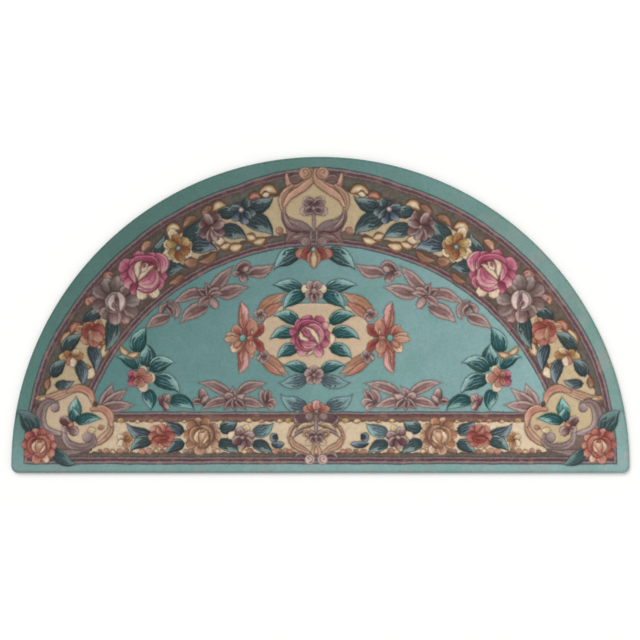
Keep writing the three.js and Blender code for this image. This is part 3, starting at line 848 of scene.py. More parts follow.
MEDALLION_SHAPES = [
    # Long leaves
    ("tan leaf", "spear", 29, 1, 3, (126, 4), (98, 28), (61, 49)),
    ("pink leaf", "spear", 21, 1, 2, (116, -6), (97, 11), (70, 29)),
    ("tan leaf", "spear", 31, 1, 3, (122, -91), (94, -109), (57, -131)),
    ("pink leaf", "spear", 16, -1, 0, (116, -103), (93, -122), (66, -138)),
    # Small mauve flowers
    *petals_from(
        (122, -2),
        ("mauve petal", 16, 0, 136, 6), ("mauve petal", 16, 0, 120, 13), ("mauve petal", 16, 0, 108, -4),
        ("mauve petal", 15, 0, 118, -14),
    ),
    *petals_from(
        (114, -92),
        ("lilac bud", 16, 0, 130, -98), ("mauve petal", 16, 0, 116, -108), ("mauve petal", 15, 0, 101, -92),
        ("mauve petal", 16, 0, 114, -78),
    ),
    # Bow: back loops, ribbons and front loops
    petal("coral rose", 19, 0, (139, -47), (126, -37), (119, -20)),
    petal("coral rose", 19, 0, (139, -56), (126, -67), (117, -82)),
    petal("rosy bow", 12, 0, (148, -80), (140, -95)), petal("peach petal", 15, 0, (157, -32), (140, -7)),
    ("pink ribbon", "tail", 22, 1, 1, (152, -42), (159, -24), (161, -4), (161, 10), (167, 28)),
    ("pink ribbon", "tail", 23, -1, 1, (153, -62), (162, -80), (161, -102), (163, -114), (170, -130)),
    ("rosy bow", "spear", 7, 0, 0, (160, -34), (167, -18), (168, 2), (167, 22)),
    ("rosy bow", "spear", 6, 0, 0, (157, -70), (167, -88), (166, -106), (168, -122)),
    ("coral rose", "spear", 9, 0, 0, (151, -54), (155, -46), (154, -34), (151, -22)),
    petal("bow loop", 26, 1, (146, -48), (142, -30), (140, -10)),
    petal("bow loop", 25, -1, (146, -54), (145, -68), (142, -86)),
    ("sand petal", "spear", 5, 0, 0, (142, -47), (141, -32)),
    ("sand petal", "spear", 5, 0, 0, (145, -56), (145, -70)), bud("coral", 9, 0, (137, -51), (153, -51)),
    # Petals on the bow's outer side
    petal("coral", 23, 0, (167, -47), (185, -25)), petal("sand petal", 23, 0, (168, -58), (188, -82)),
    petal("rust bud", 16, 0, (167, -57), (183, -72)), petal("peach petal", 14, 0, (170, -50), (201, -43)),
    petal("peach petal", 15, 0, (170, -53), (206, -55)),
    # Flower at the medallion's top
    petal("cream", 21, 0, (2, 56), (28, 58)), petal("mauve petal", 19, 0, (2, 56), (12, 74)),
    petal("mauve petal", 18, 0, (2, 50), (18, 38)), petal("plum petal", 17, 0, (0, 50), (2, 28)),
]

# Heart of the bow, the heart of the top flower, and the low flower of five petals with its radius
BOW_HEART = (163, -52)
TOP_FLOWER_Y = 52
LOW_FLOWER = (-134, 22)

SPRAYS = [
    # Tendrils at the tip of the side spray
    bud("mauve petal", 11, 0, (338, 30), (324, 28), (313, 18), (311, 4), (318, -10)),
    bud("plum petal", 17, 0, (338, 22), (327, 12), (322, -2)),
    bud("mauve petal", 13, 1, (334, 24), (346, 16), (350, 2)),
    # Side spray
    leaf("mauve leaf", 26, 3, (330, -2), (346, -8), (362, -14), (384, -30)),
    leaf("mauve leaf", 25, 3, (250, 44), (276, 48), (300, 38), (324, 26)),
    leaf("mauve leaf", 32, 3, (246, 18), (268, 12), (288, 0), (306, -18)),
    leaf("mauve leaf", 27, 3, (238, 56), (220, 70), (204, 88), (184, 110)),
    leaf("mauve leaf", 31, 3, (220, 46), (198, 50), (176, 57), (150, 62)),
    leaf("plum petal", 18, 2, (240, 40), (252, 50), (270, 58)),
    leaf("plum petal", 18, 2, (240, 40), (242, 56), (250, 72)),
    leaf("mauve petal", 16, 2, (241, 42), (230, 54), (214, 62)),
    leaf("mauve petal", 14, 0, (241, 42), (226, 46), (206, 50)),
    petal("lilac bud", 20, 1, (240, 40), (222, 16)),
    leaf("mauve petal", 18, 2, (241, 40), (256, 30), (266, 16)),
    # Bloom towards the crown
    leaf("mauve leaf", 27, 3, (156, 90), (142, 95), (122, 97), (96, 114)),
    bud("plum petal", 17, 0, (186, 90), (178, 104), (164, 113), (150, 106)),
    petal("lilac bud", 15, 0, (170, 96), (157, 107)), petal("mauve petal", 20, 1, (176, 94), (162, 74)),
    petal("mauve petal", 13, 0, (178, 92), (194, 92)),
    # Lower spray
    leaf("mauve leaf", 24, 3, (200, -174), (222, -160), (244, -151), (270, -148)),
    leaf("mauve leaf", 24, 3, (178, -172), (158, -160), (136, -153), (108, -149)),
    leaf("mauve leaf", 22, 3, (204, -188), (226, -190), (244, -196), (264, -206)),
    leaf("mauve leaf", 22, 3, (180, -190), (160, -190), (142, -195), (118, -203)),
    leaf("mauve petal", 18, 2, (190, -186), (192, -172), (186, -156)),
    petal("mauve petal", 20, 1, (190, -184), (212, -174)),
    ("lilac bud", "leaf", 18, -1, 0, (188, -184), (176, -180), (164, -172)),
    leaf("plum petal", 17, 2, (188, -184), (200, -194), (214, -208)),
    leaf("plum petal", 17, 2, (190, -184), (190, -198), (188, -211)),
    leaf("plum petal", 17, 2, (188, -184), (178, -194), (164, -208)),
    # Buds at both ends of the lower spray
    petal("mauve petal", 20, 1, (258, -194), (262, -160)),
    petal("plum petal", 15, 0, (262, -188), (284, -190)),
    petal("lilac bud", 14, 0, (262, -192), (248, -176)),
    leaf("mauve petal", 18, 2, (122, -194), (126, -178), (120, -158)),
    petal("plum petal", 17, 0, (120, -192), (106, -164)),
    petal("mauve petal", 20, 0, (118, -192), (94, -190)),
    petal("mauve petal", 14, 0, (118, -194), (102, -206)),
    # Leaves beside the corner
    leaf("mauve leaf", 30, 3, (482, -206), (470, -184), (458, -150)),
    leaf("mauve leaf", 26, 3, (480, -204), (454, -184), (424, -160)),
    leaf("mauve leaf", 26, 3, (482, -204), (450, -200), (408, -197)),
    # Small flower near the front
    petal("plum petal", 14, 1, (344, -204), (356, -178)),
    petal("wine petal", 13, 1, (344, -206), (345, -172)),
    petal("mauve petal", 13, 0, (344, -196), (335, -174)),
    petal("lilac bud", 13, 1, (346, -190), (336, -206)),
]

SPRAY_HEARTS = [(239, 39, 3.5, "curl"), (189, -186, 4, "mauve scroll")]

FIELD_LEAVES = [
    Leaf(404, -118, 448, -94, 26, 0.16, 1, "panel leaf"),
    Leaf(386, -114, 383, -64, 36, 0.12, -1, "sky leaf"),
    Leaf(374, -122, 318, -106, 34, -0.14, -1, "sky leaf"),
    Leaf(370, -143, 311, -175, 34, -0.16, -1, "sky leaf"),
    Leaf(386, -167, 376, -212, 29, -0.1, 1, "panel leaf"),
    Leaf(404, -83, 380, -27, 34, -0.1, -1, "panel leaf"),
    Leaf(334, -190, 279, -213, 28, -0.16, 1, "panel leaf"), Leaf(30, 140, 90, 100, 36, 0.1, 1, "pale leaf"),
    Leaf(22, -202, 80, -176, 32, -0.14, 0, "grey leaf"),
]

FIELD_PETALS = [
    # Buds
    bud("bud", 13, 0, (440, -70), (432, -82), (418, -90)),
    bud("bud", 13, 0, (424, -90), (410, -90), (398, -84)),
    # Flower of the side fan
    petal("peony", 22, 1, (398, -138), (424, -130)), petal("peony", 22, -1, (398, -140), (424, -154)),
    petal("cream", 19, 0, (394, -136), (387, -113)), petal("cream", 23, 0, (394, -142), (390, -171)),
    petal("cream", 25, 0, (392, -138), (366, -141)), petal("rosy bow", 21, 0, (402, -138), (371, -141)),
    petal("rosy bow", 17, 0, (400, -136), (389, -119)), petal("rosy bow", 17, 0, (400, -140), (392, -160)),
    petal("coral", 12, 0, (404, -140), (408, -126)), petal("coral", 12, 0, (402, -140), (410, -156)),
]

CORNER_GROUND = [
    (604, -192), (624, -192), (632, -230), (644, -280), (620, -312), (560, -308), (506, -302), (520, -284),
    (590, -262),
]

CORNER_INSIDE = [
    (606, -190), (566, -180), (532, -172), (510, -184), (498, -206), (478, -216), (464, -240), (478, -268),
    (500, -284), (540, -290), (566, -276), (590, -258), (612, -236), (614, -206),
]

CORNER_SCROLLS = [
    ("peach scroll", "scroll", 20, 1, 3, (624, -184), (598, -186), (572, -177), (544, -168)),
    bud("straw petal", 9, 0, (620, -186), (602, -188)),
    ("rosy scroll", "scroll", 16, 1, 0, (556, -170), (530, -162), (508, -173), (499, -200)),
    ("peach scroll", "scroll", 17, 1, 2, (461, -236), (464, -258), (478, -274), (500, -290)),
    ("rosy scroll", "scroll", 17, -1, 0, (503, -210), (480, -208), (464, -222), (460, -246)),
    bud("ground brown", 9, 0, (498, -192), (494, -204)),
    ("taupe petal", "spear", 13, -1, 0, (612, -196), (630, -212), (632, -240), (616, -262)),
    (
        "mauve scroll", "scroll", 23, -1, 2,
        (582, -198), (600, -194), (614, -210), (617, -236), (604, -256), (574, -264),
    ),
    (
        "mauve scroll", "scroll", 18, -1, 2,
        (500, -268), (500, -284), (520, -294), (548, -290), (562, -276), (565, -258),
    ),
]

CORNER_VOLUTES = [
    (585, -206, 10, "mauve scroll"), (513, -272, 11, "mauve scroll"),
]

CORNER_LEAVES = [
    Leaf(546, -230, 538, -181, 29, 0.04, -1, "field leaf"),
    Leaf(546, -236, 545, -206, 25, 0.1, 1, "panel leaf"),
    Leaf(538, -238, 482, -231, 24, -0.1, 1, "panel leaf"),
]

CORNER_BLOOMS = [
    petal("mauve petal", 16, 0, (553, -248), (570, -258)),
    ("mauve scroll", "spear", 12, 1, 0, (590, -302), (560, -305), (530, -303), (508, -298)),
    petal("plum petal", 21, 1, (552, -244), (573, -228)),
    petal("mauve petal", 22, -1, (552, -248), (536, -266)),
    bud("rust bud", 10, 0, (556, -247), (544, -240)), bud("straw petal", 13, 0, (514, -256), (494, -256)),
    bud("coral", 9, 0, (490, -252), (476, -248)),
]

CORNER_ROSE_LEAVES = [
    Leaf(630, -262, 668, -212, 40, 0.1, 1, "corner leaf"),
    Leaf(590, -298, 537, -331, 27, 0.13, -1, "corner leaf"),
]

CROWN_INSIDE = [
    (0, 296), (10, 290), (40, 272), (58, 258), (68, 240), (67, 226), (44, 212), (26, 206), (10, 194),
    (0, 190),
]

ACANTHUS = [
    (8, 184), (14, 195), (32, 205), (54, 214), (69, 234), (72, 212), (62, 190), (60, 176), (64, 161),
    (40, 164), (20, 168),
]

FRONT_INSIDE = [
    (0, -238), (30, -240), (50, -254), (57, -274), (46, -292), (0, -308),
]

PANEL_SHAPES = [
    # Crown panel
    ("panel ground", "bud", 22, 0, 3, (26, 300), (42, 301), (56, 298)),
    ("rosy scroll", "band", 14, 1, 0, (12, 297), (28, 286), (45, 281), (57, 291), (61, 311)),
    ("peach scroll", "scroll", 15, 1, 2, (48, 286), (66, 268), (72, 250), (67, 226)),
    ("coral scroll", "band", 17, 1, 0, (6, 316), (7, 299), (18, 286), (40, 271), (56, 259), (67, 240)),
    ("mauve scroll", "spear", 19, -1, 0, (8, 188), (28, 198), (46, 205), (60, 214)),
    ("mauve petal", "spear", 13, 1, 0, (30, 184), (50, 192), (62, 208), (69, 232)),
    bud("plum petal", 6, 0, (12, 184), (34, 190), (50, 202)),
    ("mauve petal", "spear", 12, -1, 0, (8, 180), (28, 178), (44, 172), (58, 162)),
    bud("plum petal", 6, 0, (8, 176), (24, 170), (34, 162)),
    ("mauve scroll", "even", 5, 0, 0, (6, 186), (7, 164)), petal("mauve petal", 23, 0, (2, 241), (23, 258)),
    petal("mauve petal", 22, 0, (2, 237), (30, 225)), petal("plum flower", 21, 0, (-2, 244), (20, 252)),
    petal("plum flower", 20, 0, (-2, 235), (21, 228)),
    # Front panel
    bud("maroon ground", 22, 0, (16, -232), (46, -231)),
    ("taupe petal", "band", 8, 1, 2, (17, -320), (26, -309), (38, -308), (47, -317)),
    ("mauve scroll", "horn", 15, 1, 0, (32, -250), (43, -241), (50, -225)),
    ("brown scroll", "scroll", 7, 1, 0, (40, -240), (54, -252), (60, -274), (51, -293), (38, -300)),
    ("beige petal", "spear", 13, 1, 2, (8, -244), (30, -247), (48, -262)),
    ("mauve scroll", "spear", 7, 1, 1, (20, -252), (38, -260), (53, -274)),
    ("peach scroll", "spear", 15, 1, 2, (57, -272), (48, -288), (28, -299), (4, -314)),
    petal("beige petal", 17, 0, (8, -262), (30, -258)), petal("beige petal", 16, 0, (4, -274), (22, -288)),
    ("brown scroll", "band", 4, 1, 0, (16, -261), (24, -258), (27, -266), (20, -272)),
    petal("plum flower", 22, 0, (0, -271), (18, -264)), petal("plum flower", 20, 0, (0, -270), (12, -282)),
    ("coral scroll", "band", 7, 0, 0, (4, -292), (8, -304), (6, -318)),
    bud("rust bud", 9, 0, (52, -304), (66, -302)),
]

# Volutes of both panels with their curls, as place, radius and yarns
PANEL_VOLUTES = [
    (19, 313, 14, "peach scroll"), (18, 161, 11, "mauve scroll"), (77, 186, 8, "tan leaf"),
    (15, -226, 9, "mauve scroll"), (14, -321, 11, "pink volute"),
]

CURL = [(0.1, 0.05), (0.35, 0.2), (0.3, 0.55), (-0.15, 0.6), (-0.5, 0.25), (-0.45, -0.3), (0.05, -0.6)]

# Fans of petals below the crown panel and above the front panel
FANS = [
    petal("rust bud", 24, 0, (14, 144), (40, 130)), petal("coral rose", 22, 0, (6, 146), (24, 123)),
    petal("rosy bow", 19, 0, (1, 146), (9, 113)), petal("bud", 16, 0, (0, 142), (0, 103)),
    petal("rosy bow", 17, 0, (9, -214), (29, -205)), petal("coral", 15, 0, (5, -213), (17, -196)),
]

# How light or dark some of the yarns are laid. Where the right and left halves differ, it is painted light:
# the same yarns lighter on the right, darker on the left
FRONT_LEAF_SHADE = {1: 1.25, -1: 1.05}
FRONT_ROSE_SHADE = {1: 1.12, -1: 1.0}
HIGH_SPRAY_SHADE = {1: 1.07, -1: 0.93}
LOW_SPRAY_SHADE = {1: 1.13, -1: 0.93}
SMALL_FLOWER_SHADE = 0.88

# On the right half, the arch border's leaves between these distances are painted lighter, as painted light
LIGHT_LEAVES = (180, 330)
LIGHT_LEAVES_SHADE = 1.2


# Painting


def along_border(x, y):
    """Distance along the arch border from the crown."""
    return np.abs(np.arctan2(x, y - ARCH_Y)) * BORDER_RADIUS


def guard_distances(x, y):
    """How far a place lies inside the outer guard and outside the field's, and the ground's depth there."""
    along = along_border(x, y)
    out = np.hypot(x, y - ARCH_Y) + 0.8 * noise(x, y, 24, 31)
    level = y + 0.8 * noise(x, y, 24, 32)
    edge_arch, edge_front = np.interp(along, *OUTER_GUARD) - out, level - FRONT_OUTER
    field_arch, field_front = out - np.interp(along, *INNER_GUARD), FRONT_INNER - level
    # The dark ground's edge curls every 26 mm along the arch and every 17 mm in front
    curls = 3 * np.abs(np.sin(np.pi * along / 26)) + 2.5 * noise(x, y, 16, 36)
    front_curls = 2.4 * np.abs(np.sin(np.pi * np.abs(x) / 17)) + 1.2 * noise(x, y, 12, 37)
    outer_depth = np.where(edge_arch < edge_front, np.interp(along, *OUTER_FILL) + curls, 9 + front_curls)
    inner_depth = np.where(field_front > field_arch, 5 + front_curls, np.interp(along, *INNER_FILL) + curls)
    return np.minimum(edge_arch, edge_front), np.maximum(field_arch, field_front), outer_depth, inner_depth


def teal_ground(design, x, y, from_edge, from_field):
    """Plain teal of the field and of the outer band, with painted light that makes it lighter towards the
    lower right, and paler worn patches there.
    """
    drift = 0.1 * noise(x, y, 120, 1) + 0.05 * noise(x, y, 40, 2)
    # Painted light: both grounds grow lighter to the right, and the band also towards the front; the drift is
    # the wool's own uneven tone
    field_light_and_tone = np.clip(0.5 + x / 900 + drift, 0, 1)
    band_light_and_tone = np.clip(0.15 + x / 3500 + 0.6 * smooth(-180, -335, y) + drift, 0, 1)
    pale = design.wool("teal_pale")
    field = mix(design.wool("teal"), pale, field_light_and_tone)
    band = mix(design.wool("teal_deep"), pale, band_light_and_tone)
    colour = np.where((from_field < 0)[..., None], field, band)
    colour = mix(colour, design.wool("teal_green"), smooth(0.1, 0.8, noise(x, y, 60, 3)) * 0.2)
    worn = 0.2 + 0.5 * smooth(-0.3, 0.7, noise(x, y, 34, 4)) + 0.2 * noise(x, y, 9, 5)
    worn = worn * np.maximum(smooth(150, 620, x), 0.8 * smooth(-325, -345, y)) * (from_edge < 0)
    return mix(colour, design.wool("volute_pale"), 0.42 * worn)


def border_ground(design, x, y, deep):
    """Ivory of the border and the dark ground beside its guards, by the depth from the guards."""
    ground = ramp(design, deep + 0.05 * noise(x, y, 8, 38), FILL_BANDS)
    pale = (0.7 + 0.3 * smooth(-150, 450, x)) * smooth(-190, -240, y) * smooth(1.0, 1.1, deep)
    ground = mix(ground, design.wool("ivory_pale"), pale)
    brown = smooth(1.0, 0.9, deep) * smooth(-225, -232, y) * (FRONT_INNER - y < 45)
    ground = mix(ground, design.wool("bud_brown"), 0.75 * brown)
    dark = smooth(1.0, 0.85, deep)
    warm = 0.7 * np.interp(along_border(x, y), *WARM_GROUND) * dark
    ground = mix(ground, design.wool("line_brown"), warm)
    for name, size, seed in SPOTS:
        ground = mix(ground, design.wool(name), smooth(0.1, 0.9, noise(x, y, size, seed)) * dark * 0.3)
    return ground


def paint_grounds(design):
    """Teal field and outer band, and the guards and ground of the border between them."""
    x, y = design.x[None, :], design.y[:, None]
    from_edge, from_field, outer_depth, inner_depth = guard_distances(x, y)
    design.colour[:] = teal_ground(design, x, y, from_edge, from_field)
    border = np.minimum(from_edge, from_field)
    mottled = border + 0.9 * noise(x, y, 3.5, 33) * smooth(0, 6, border)
    above_front = (from_field < from_edge) & (y < FRONT_INNER + 2) & (from_field < 30)
    guards = np.where(
        above_front[..., None], ramp(design, mottled, FRONT_BANDS), ramp(design, mottled, GUARD_BANDS)
    )
    warm = smooth(0.2, 0.9, noise(x, y, 14, 35)) * 0.3 * smooth(16, 6, border)
    guards = mix(guards, design.wool("scroll"), warm)
    deep = np.minimum((from_edge - GUARD_WIDTH) / outer_depth, (from_field - GUARD_WIDTH) / inner_depth)
    guards = mix(guards, border_ground(design, x, y, deep), smooth(14.5, 16, border))
    guards = guards * (1 + 0.07 * noise(x, y, 6, 34))[..., None]
    rise = design.ground + 0.4 - design.groove * bell(border, 0, 1.5)
    for line, spread in GUARD_LINES:
        rise -= 0.5 * design.groove * bell(border, line, spread)
    rise -= 0.5 * design.groove * bell(deep, 0.98, 0.125) * smooth(14, 17, border)
    design.lay((slice(None), slice(None)), smooth(-2.2, -1.0, border), guards, rise)


def draw_leaf(design, row, side, shade=1.0):
    """A leaf whose tip hooks a little towards its bend."""
    stalk = np.array(place(row.u, row.y, side))
    tip = np.array(place(row.tip_u, row.tip_y, side))
    run = tip - stalk
    aside = side * row.bend * np.array([-run[1], run[0]])
    points = [stalk, stalk + 0.38 * run + 0.9 * aside, stalk + 0.76 * run + 0.75 * aside, tip]
    stroke(design, points, row.width, "leaf", row.yarns, side, row.lit, 1, shade=shade)


def draw_shape(design, row, side, move=(0, 0), shade=1.0, on_arch=False):
    """A shape of the layout; one in the arch border has its places along and out."""
    yarns, profile, width, lit, veins, *points = row
    if on_arch:
        points = [from_arch(*point, side) for point in points]
    points = [place(u + move[0], y + move[1], side) for u, y in points]
    stroke(design, points, width, profile, yarns, side, lit, veins, shade=shade)


def rose(design, centre, radius, petals, outer, inner, heart, side=1, shade=1.0):
    """A full rose with its cup of petals open to the front."""
    kinds = {"outer": outer, "inner": inner, "heart": heart}
    for kind, profile, width, lit, _, *points in petals:
        points = [(centre[0] + side * x * radius, centre[1] + y * radius) for x, y in points]
        lines = 0 if profile == "petal" or kind == "heart" else 3 if width > 0.3 else 2
        stroke(design, points, width * radius, profile, kinds[kind], side, lit, lines, shade=shade)


def paint_arch_border(design, side):
    """Buds, leaves and flowers of the arch border."""
    for yarns, width, *points in ARCH_BUDS:
        draw_shape(design, bud("bud ring", width + 6, 0, *points), side, on_arch=True)
        draw_shape(design, bud(yarns, width, 0, *points), side, on_arch=True)
    for row in ARCH_LEAVES:
        stalk, tip = from_arch(row.u, row.y, side), from_arch(row.tip_u, row.tip_y, side)
        light = side > 0 and LIGHT_LEAVES[0] < row.u < LIGHT_LEAVES[1]
        draw_leaf(design, Leaf(*stalk, *tip, *row[4:]), side, LIGHT_LEAVES_SHADE if light else 1.0)
    for row in ARCH_PETALS:
        draw_shape(design, row, side, on_arch=True)
    for along, out, radius, yarns in ARCH_HEARTS:
        disc(design, place(*from_arch(along, out, side), side), radius, yarns, side)
    along, out, radius = BORDER_ROSE_AT
    centre = place(*from_arch(along, out, side), side)
    rose(design, centre, radius, BORDER_ROSE, "peony", "peony inner", "cream", side)


def paint_front_border(design, side):
    """Buds, leaves and flowers of the front border."""
    for level, row in FRONT_BUDS.items():
        for number, (off, radius, yarns) in enumerate(row):
            y = level - number % 3
            points = [place(off - radius, y - 1, side), place(off, y + 1, side), place(off + radius, y, side)]
            stroke(design, points, 1.5 * radius, "bud", yarns, side, crown=0.6)
    for row in FRONT_LEAVES:
        draw_leaf(design, row, side, FRONT_LEAF_SHADE[side])
    for row in FRONT_PETALS:
        draw_shape(design, row, side, (0, -1.5))
    u, y, radius = FRONT_ROSE_AT
    wools = ("tan rose", "tan rose inner", "rose heart")
    rose(design, place(u, y, side), radius, CUPPED_ROSE, *wools, side, FRONT_ROSE_SHADE[side])


def paint_field(design, side):
    """Leaves, sprays and small flowers of the field."""
    for row in FIELD_LEAVES:
        draw_leaf(design, row, side)
    for row in SPRAYS:
        u, y = row[5]
        if y > -100:
            draw_shape(design, row, side, (-7 if u < 200 else 0, -1), HIGH_SPRAY_SHADE[side])
        else:
            draw_shape(design, row, side, (0, -3), LOW_SPRAY_SHADE[side])
    for row in FIELD_PETALS:
        draw_shape(design, row, side, shade=SMALL_FLOWER_SHADE)
    for u, y, radius, yarns in SPRAY_HEARTS:
        disc(design, place(u, y, side), radius, yarns, side)


def one_side(outline, side):
    return [place(u, y, side) for u, y in outline]


def both_halves(outline):
    """A closed outline from its right half."""
    return one_side(outline, 1) + one_side(outline[1:-1], -1)[::-1]


def paint_medallion(design):
    """Ivory panel with its rose, leaves, bows and small flowers."""
    patch(design, both_halves(MEDALLION), "ivory")
    for side in (-1, 1):
        for row in MEDALLION_LEAVES:
            draw_leaf(design, row, side)
        for row in MEDALLION_SHAPES:
            draw_shape(design, row, side)
        disc(design, place(*BOW_HEART, side), 7, "green heart", side, tall=1.2)
    x, _ = place(0, 0, 1)
    u, y, radius = MEDALLION_ROSE_AT
    rose(design, (x + u, y), radius, ROSE, "peony", "peony inner", "cream")
    disc(design, (x, TOP_FLOWER_Y), 7, "mauve petal")
    y, radius = LOW_FLOWER
    for number in range(5):
        angle = math.radians(90 + 360 * number / 5)
        reaches = (0.16 * radius, radius)
        ends = [(x + reach * math.cos(angle), y + reach * math.sin(angle)) for reach in reaches]
        stroke(design, ends, 0.29 * math.pi * radius, "petal", "mauve petal")
    disc(design, (x, y), 0.2 * radius, "mauve scroll")


def paint_corner_panels(design, side):
    """Corner panel of scrolls, and the rose in the corner."""
    patch(design, one_side(CORNER_GROUND, side), "panel ground")
    # The right corner takes the deeper ivory, which holds back the painted light there
    patch(design, one_side(CORNER_INSIDE, side), "deep ivory" if side > 0 else "ivory")
    for row in CORNER_SCROLLS:
        draw_shape(design, row, side)
    for u, y, radius, yarns in CORNER_VOLUTES:
        disc(design, place(u, y, side), radius, yarns, side, line=0.25)
    for row in CORNER_LEAVES:
        draw_leaf(design, row, side)
    for row in CORNER_BLOOMS:
        draw_shape(design, row, side)
    for row in CORNER_ROSE_LEAVES:
        draw_leaf(design, row, side, FRONT_LEAF_SHADE[side])
    u, y, radius = CORNER_ROSE_AT
    rose(design, place(u, y, side), radius, CUPPED_ROSE, "corner rose", "rosy bow", "corner cup", side)


def paint_middle_panels(design):
    """Scroll panels at the crown and at the middle of the front border."""
    patch(design, both_halves(CROWN_INSIDE), "deep ivory")
    patch(design, both_halves(FRONT_INSIDE), "ivory")
    for side in (-1, 1):
        patch(design, one_side(ACANTHUS, side), "mauve ground")
    x, _ = place(0, 0, 1)
    front, _ = place(0, -230, 1)
    stroke(design, [(x, 234), (x, 188)], 6, "even", "mauve petal")
    stroke(design, [(front, -218), (front, -260)], 7, "even", "taupe petal")
    for side in (-1, 1):
        for row in PANEL_SHAPES:
            draw_shape(design, row, side)
        for row in FANS:
            draw_shape(design, row, side, shade=SMALL_FLOWER_SHADE)
        for u, y, radius, yarns in PANEL_VOLUTES:
            disc(design, place(u, y, side), radius, yarns, side)
            curl = one_side([(u + off * radius, y + up * radius) for off, up in CURL], side)
            stroke(design, curl, 2, "even", "curl", side, crown=0.3, line=0.1)
    disc(design, (x - 1, 235), 5, "mauve scroll")
    stroke(design, [(front, -214), (front, -189)], 17, "petal", "pink ribbon", veins=2)
    disc(design, (front, -215), 5, "taupe rose")
    disc(design, (front, -270), 4.5, "lilac bud")
    disc(design, (x - 1, 144), 5, "field leaf")


def wash_over(design):
    """Painted light: the rug is made lighter towards the lower right, where the leaning pile catches the
    light, and darker to the upper left, and a faint painted haze lifts the darkest dyes.
    """
    across, up = design.x[None, :] / RADIUS, design.y[:, None] / (DEPTH / 2)
    # Painted light: every dye is scaled by this lean, lighter to the lower right, then lifted by a small even
    # amount of painted haze
    lean = 0.78 * np.exp(0.27 * across - 0.12 * up + 0.2 * across * up)
    design.colour[:] = design.colour * lean[..., None] + 0.006


def draw_design(dyes, sizes):
    """The whole design, dyed and carved."""
    design = Design(dyes, sizes.ground / MM, sizes.groove / MM)
    paint_grounds(design)
    for side in (-1, 1):
        paint_arch_border(design, side)
        paint_front_border(design, side)
        paint_field(design, side)
    paint_medallion(design)
    for side in (-1, 1):
        paint_corner_panels(design, side)
    paint_middle_panels(design)
    wash_over(design)
    return design


# Meshes

# Height above the floor, and how far in from the outline, of the rings round the pile's side
PILE_SIDE = [
    (12, 7), (11.2, 3), (9.4, 0.9), (6.4, 0), (3.4, 0.9), (1, 2.8),
]

# How far in the foundation's rim is at its top and bottom, and at its middle
FOUNDATION_RIM = 2.8
FOUNDATION_MIDDLE = 2.4

Tuft = namedtuple("Tuft", "height inset lean")
TUFT_ROWS = [
    Tuft(2.6, 2.4, 0.1), Tuft(5.4, 1.2, 0.3), Tuft(8.2, 1.7, 0.7), Tuft(10.4, 3.4, 1.2),
]
# Reach along the yarn, and half width, of the rings of a tuft, and the reach of its tip
TUFT_RINGS = ((-1.4, 1.5), (0.6, 1.35), (1.5, 0.8))
TUFT_TIP = 1.9
TUFT_SIDES = 5
# How far in from the rim a tuft takes its dye
TUFT_DYE = 8


def arc_at(x, y, inset=0):
    """X of the middle of the outline's arc beside a place, and the arc's radius: the arch's or a corner's."""
    arch = y > ARCH_Y
    middle = np.where(arch, 0, np.clip(x, CORNER_RADIUS - RADIUS, RADIUS - CORNER_RADIUS))
    return middle, np.where(arch, RADIUS, CORNER_RADIUS) - inset


def outward(points):
    """Directions straight out of the outline at points near it."""
    x, y = points.T
    away = np.column_stack([x - arc_at(x, y)[0], y - ARCH_Y])
    return away / np.hypot(*away.T)[:, None]


def on_outline(points, away, inset):
    """Points moved straight out or in to lie on the outline moved in by inset."""
    middle, reach = arc_at(*points.T, inset)
    return np.column_stack([middle, np.full(len(points), ARCH_Y)]) + away * reach[:, None]


def half_moon_grid(spacing, inset):
    """Flat grid over the half-moon with its rim on the outline moved in by inset.

    Gives the points, their faces of four corners (a three-sided one ends in -1) and the rim in order."""
    columns, rows = round(WIDTH / 2 / spacing), round(DEPTH / 2 / spacing)
    x, y = np.meshgrid(np.arange(-columns, columns + 1) * spacing, np.arange(-rows, rows + 1) * spacing)
    middle, reach = arc_at(x, y, inset)
    within = np.hypot(x - middle, y - ARCH_Y) < reach
    cell = np.pad(within[:-1, :-1] & within[1:, :-1] & within[:-1, 1:] & within[1:, 1:], 1)
    name = np.arange(x.size).reshape(x.shape)
    row, column = np.nonzero(cell[1:-1, 1:-1])
    faces = np.stack([name[row + up, column + over] for up, over in ((0, 0), (0, 1), (1, 1), (1, 0))], axis=1)
    # The rim runs along the sides that have no cell beyond them
    rim_next = {}
    for corner, (up, over) in enumerate(((0, 1), (1, 2), (2, 1), (1, 0))):
        free = faces[~cell[row + up, column + over]]
        rim_next.update(zip(free[:, corner].tolist(), free[:, (corner + 1) % 4].tolist()))
    rim = [next(iter(rim_next))]
    while rim_next[rim[-1]] != rim[0]:
        rim.append(rim_next[rim[-1]])
    points = np.stack([x, y], axis=-1).reshape(-1, 2)
    points[rim] = on_outline(points[rim], outward(points[rim]), inset)
    # Points of the rim that fall close together become one
    same = np.arange(x.size)
    kept = [rim[0]]
    for point in rim[1:]:
        if np.hypot(*(points[point] - points[kept[-1]])) < 0.4 * spacing:
            same[point] = kept[-1]
        else:
            kept.append(point)
    faces = same[faces]
    for i in range(4):
        twin = faces[:, i] == faces[:, (i + 1) % 4]
        faces[twin] = np.roll(faces[twin], -i - 1, axis=1)
        faces[twin, 3] = -1
    used, faces[faces >= 0] = np.unique(faces[faces >= 0], return_inverse=True)
    return points[used], faces, np.searchsorted(used, kept)


def walls(rings):
    """Faces between each ring of points and the next."""
    return [
        np.stack([upper, lower, np.roll(lower, -1), np.roll(upper, -1)], axis=1)
        for upper, lower in zip(rings, rings[1:])
    ]


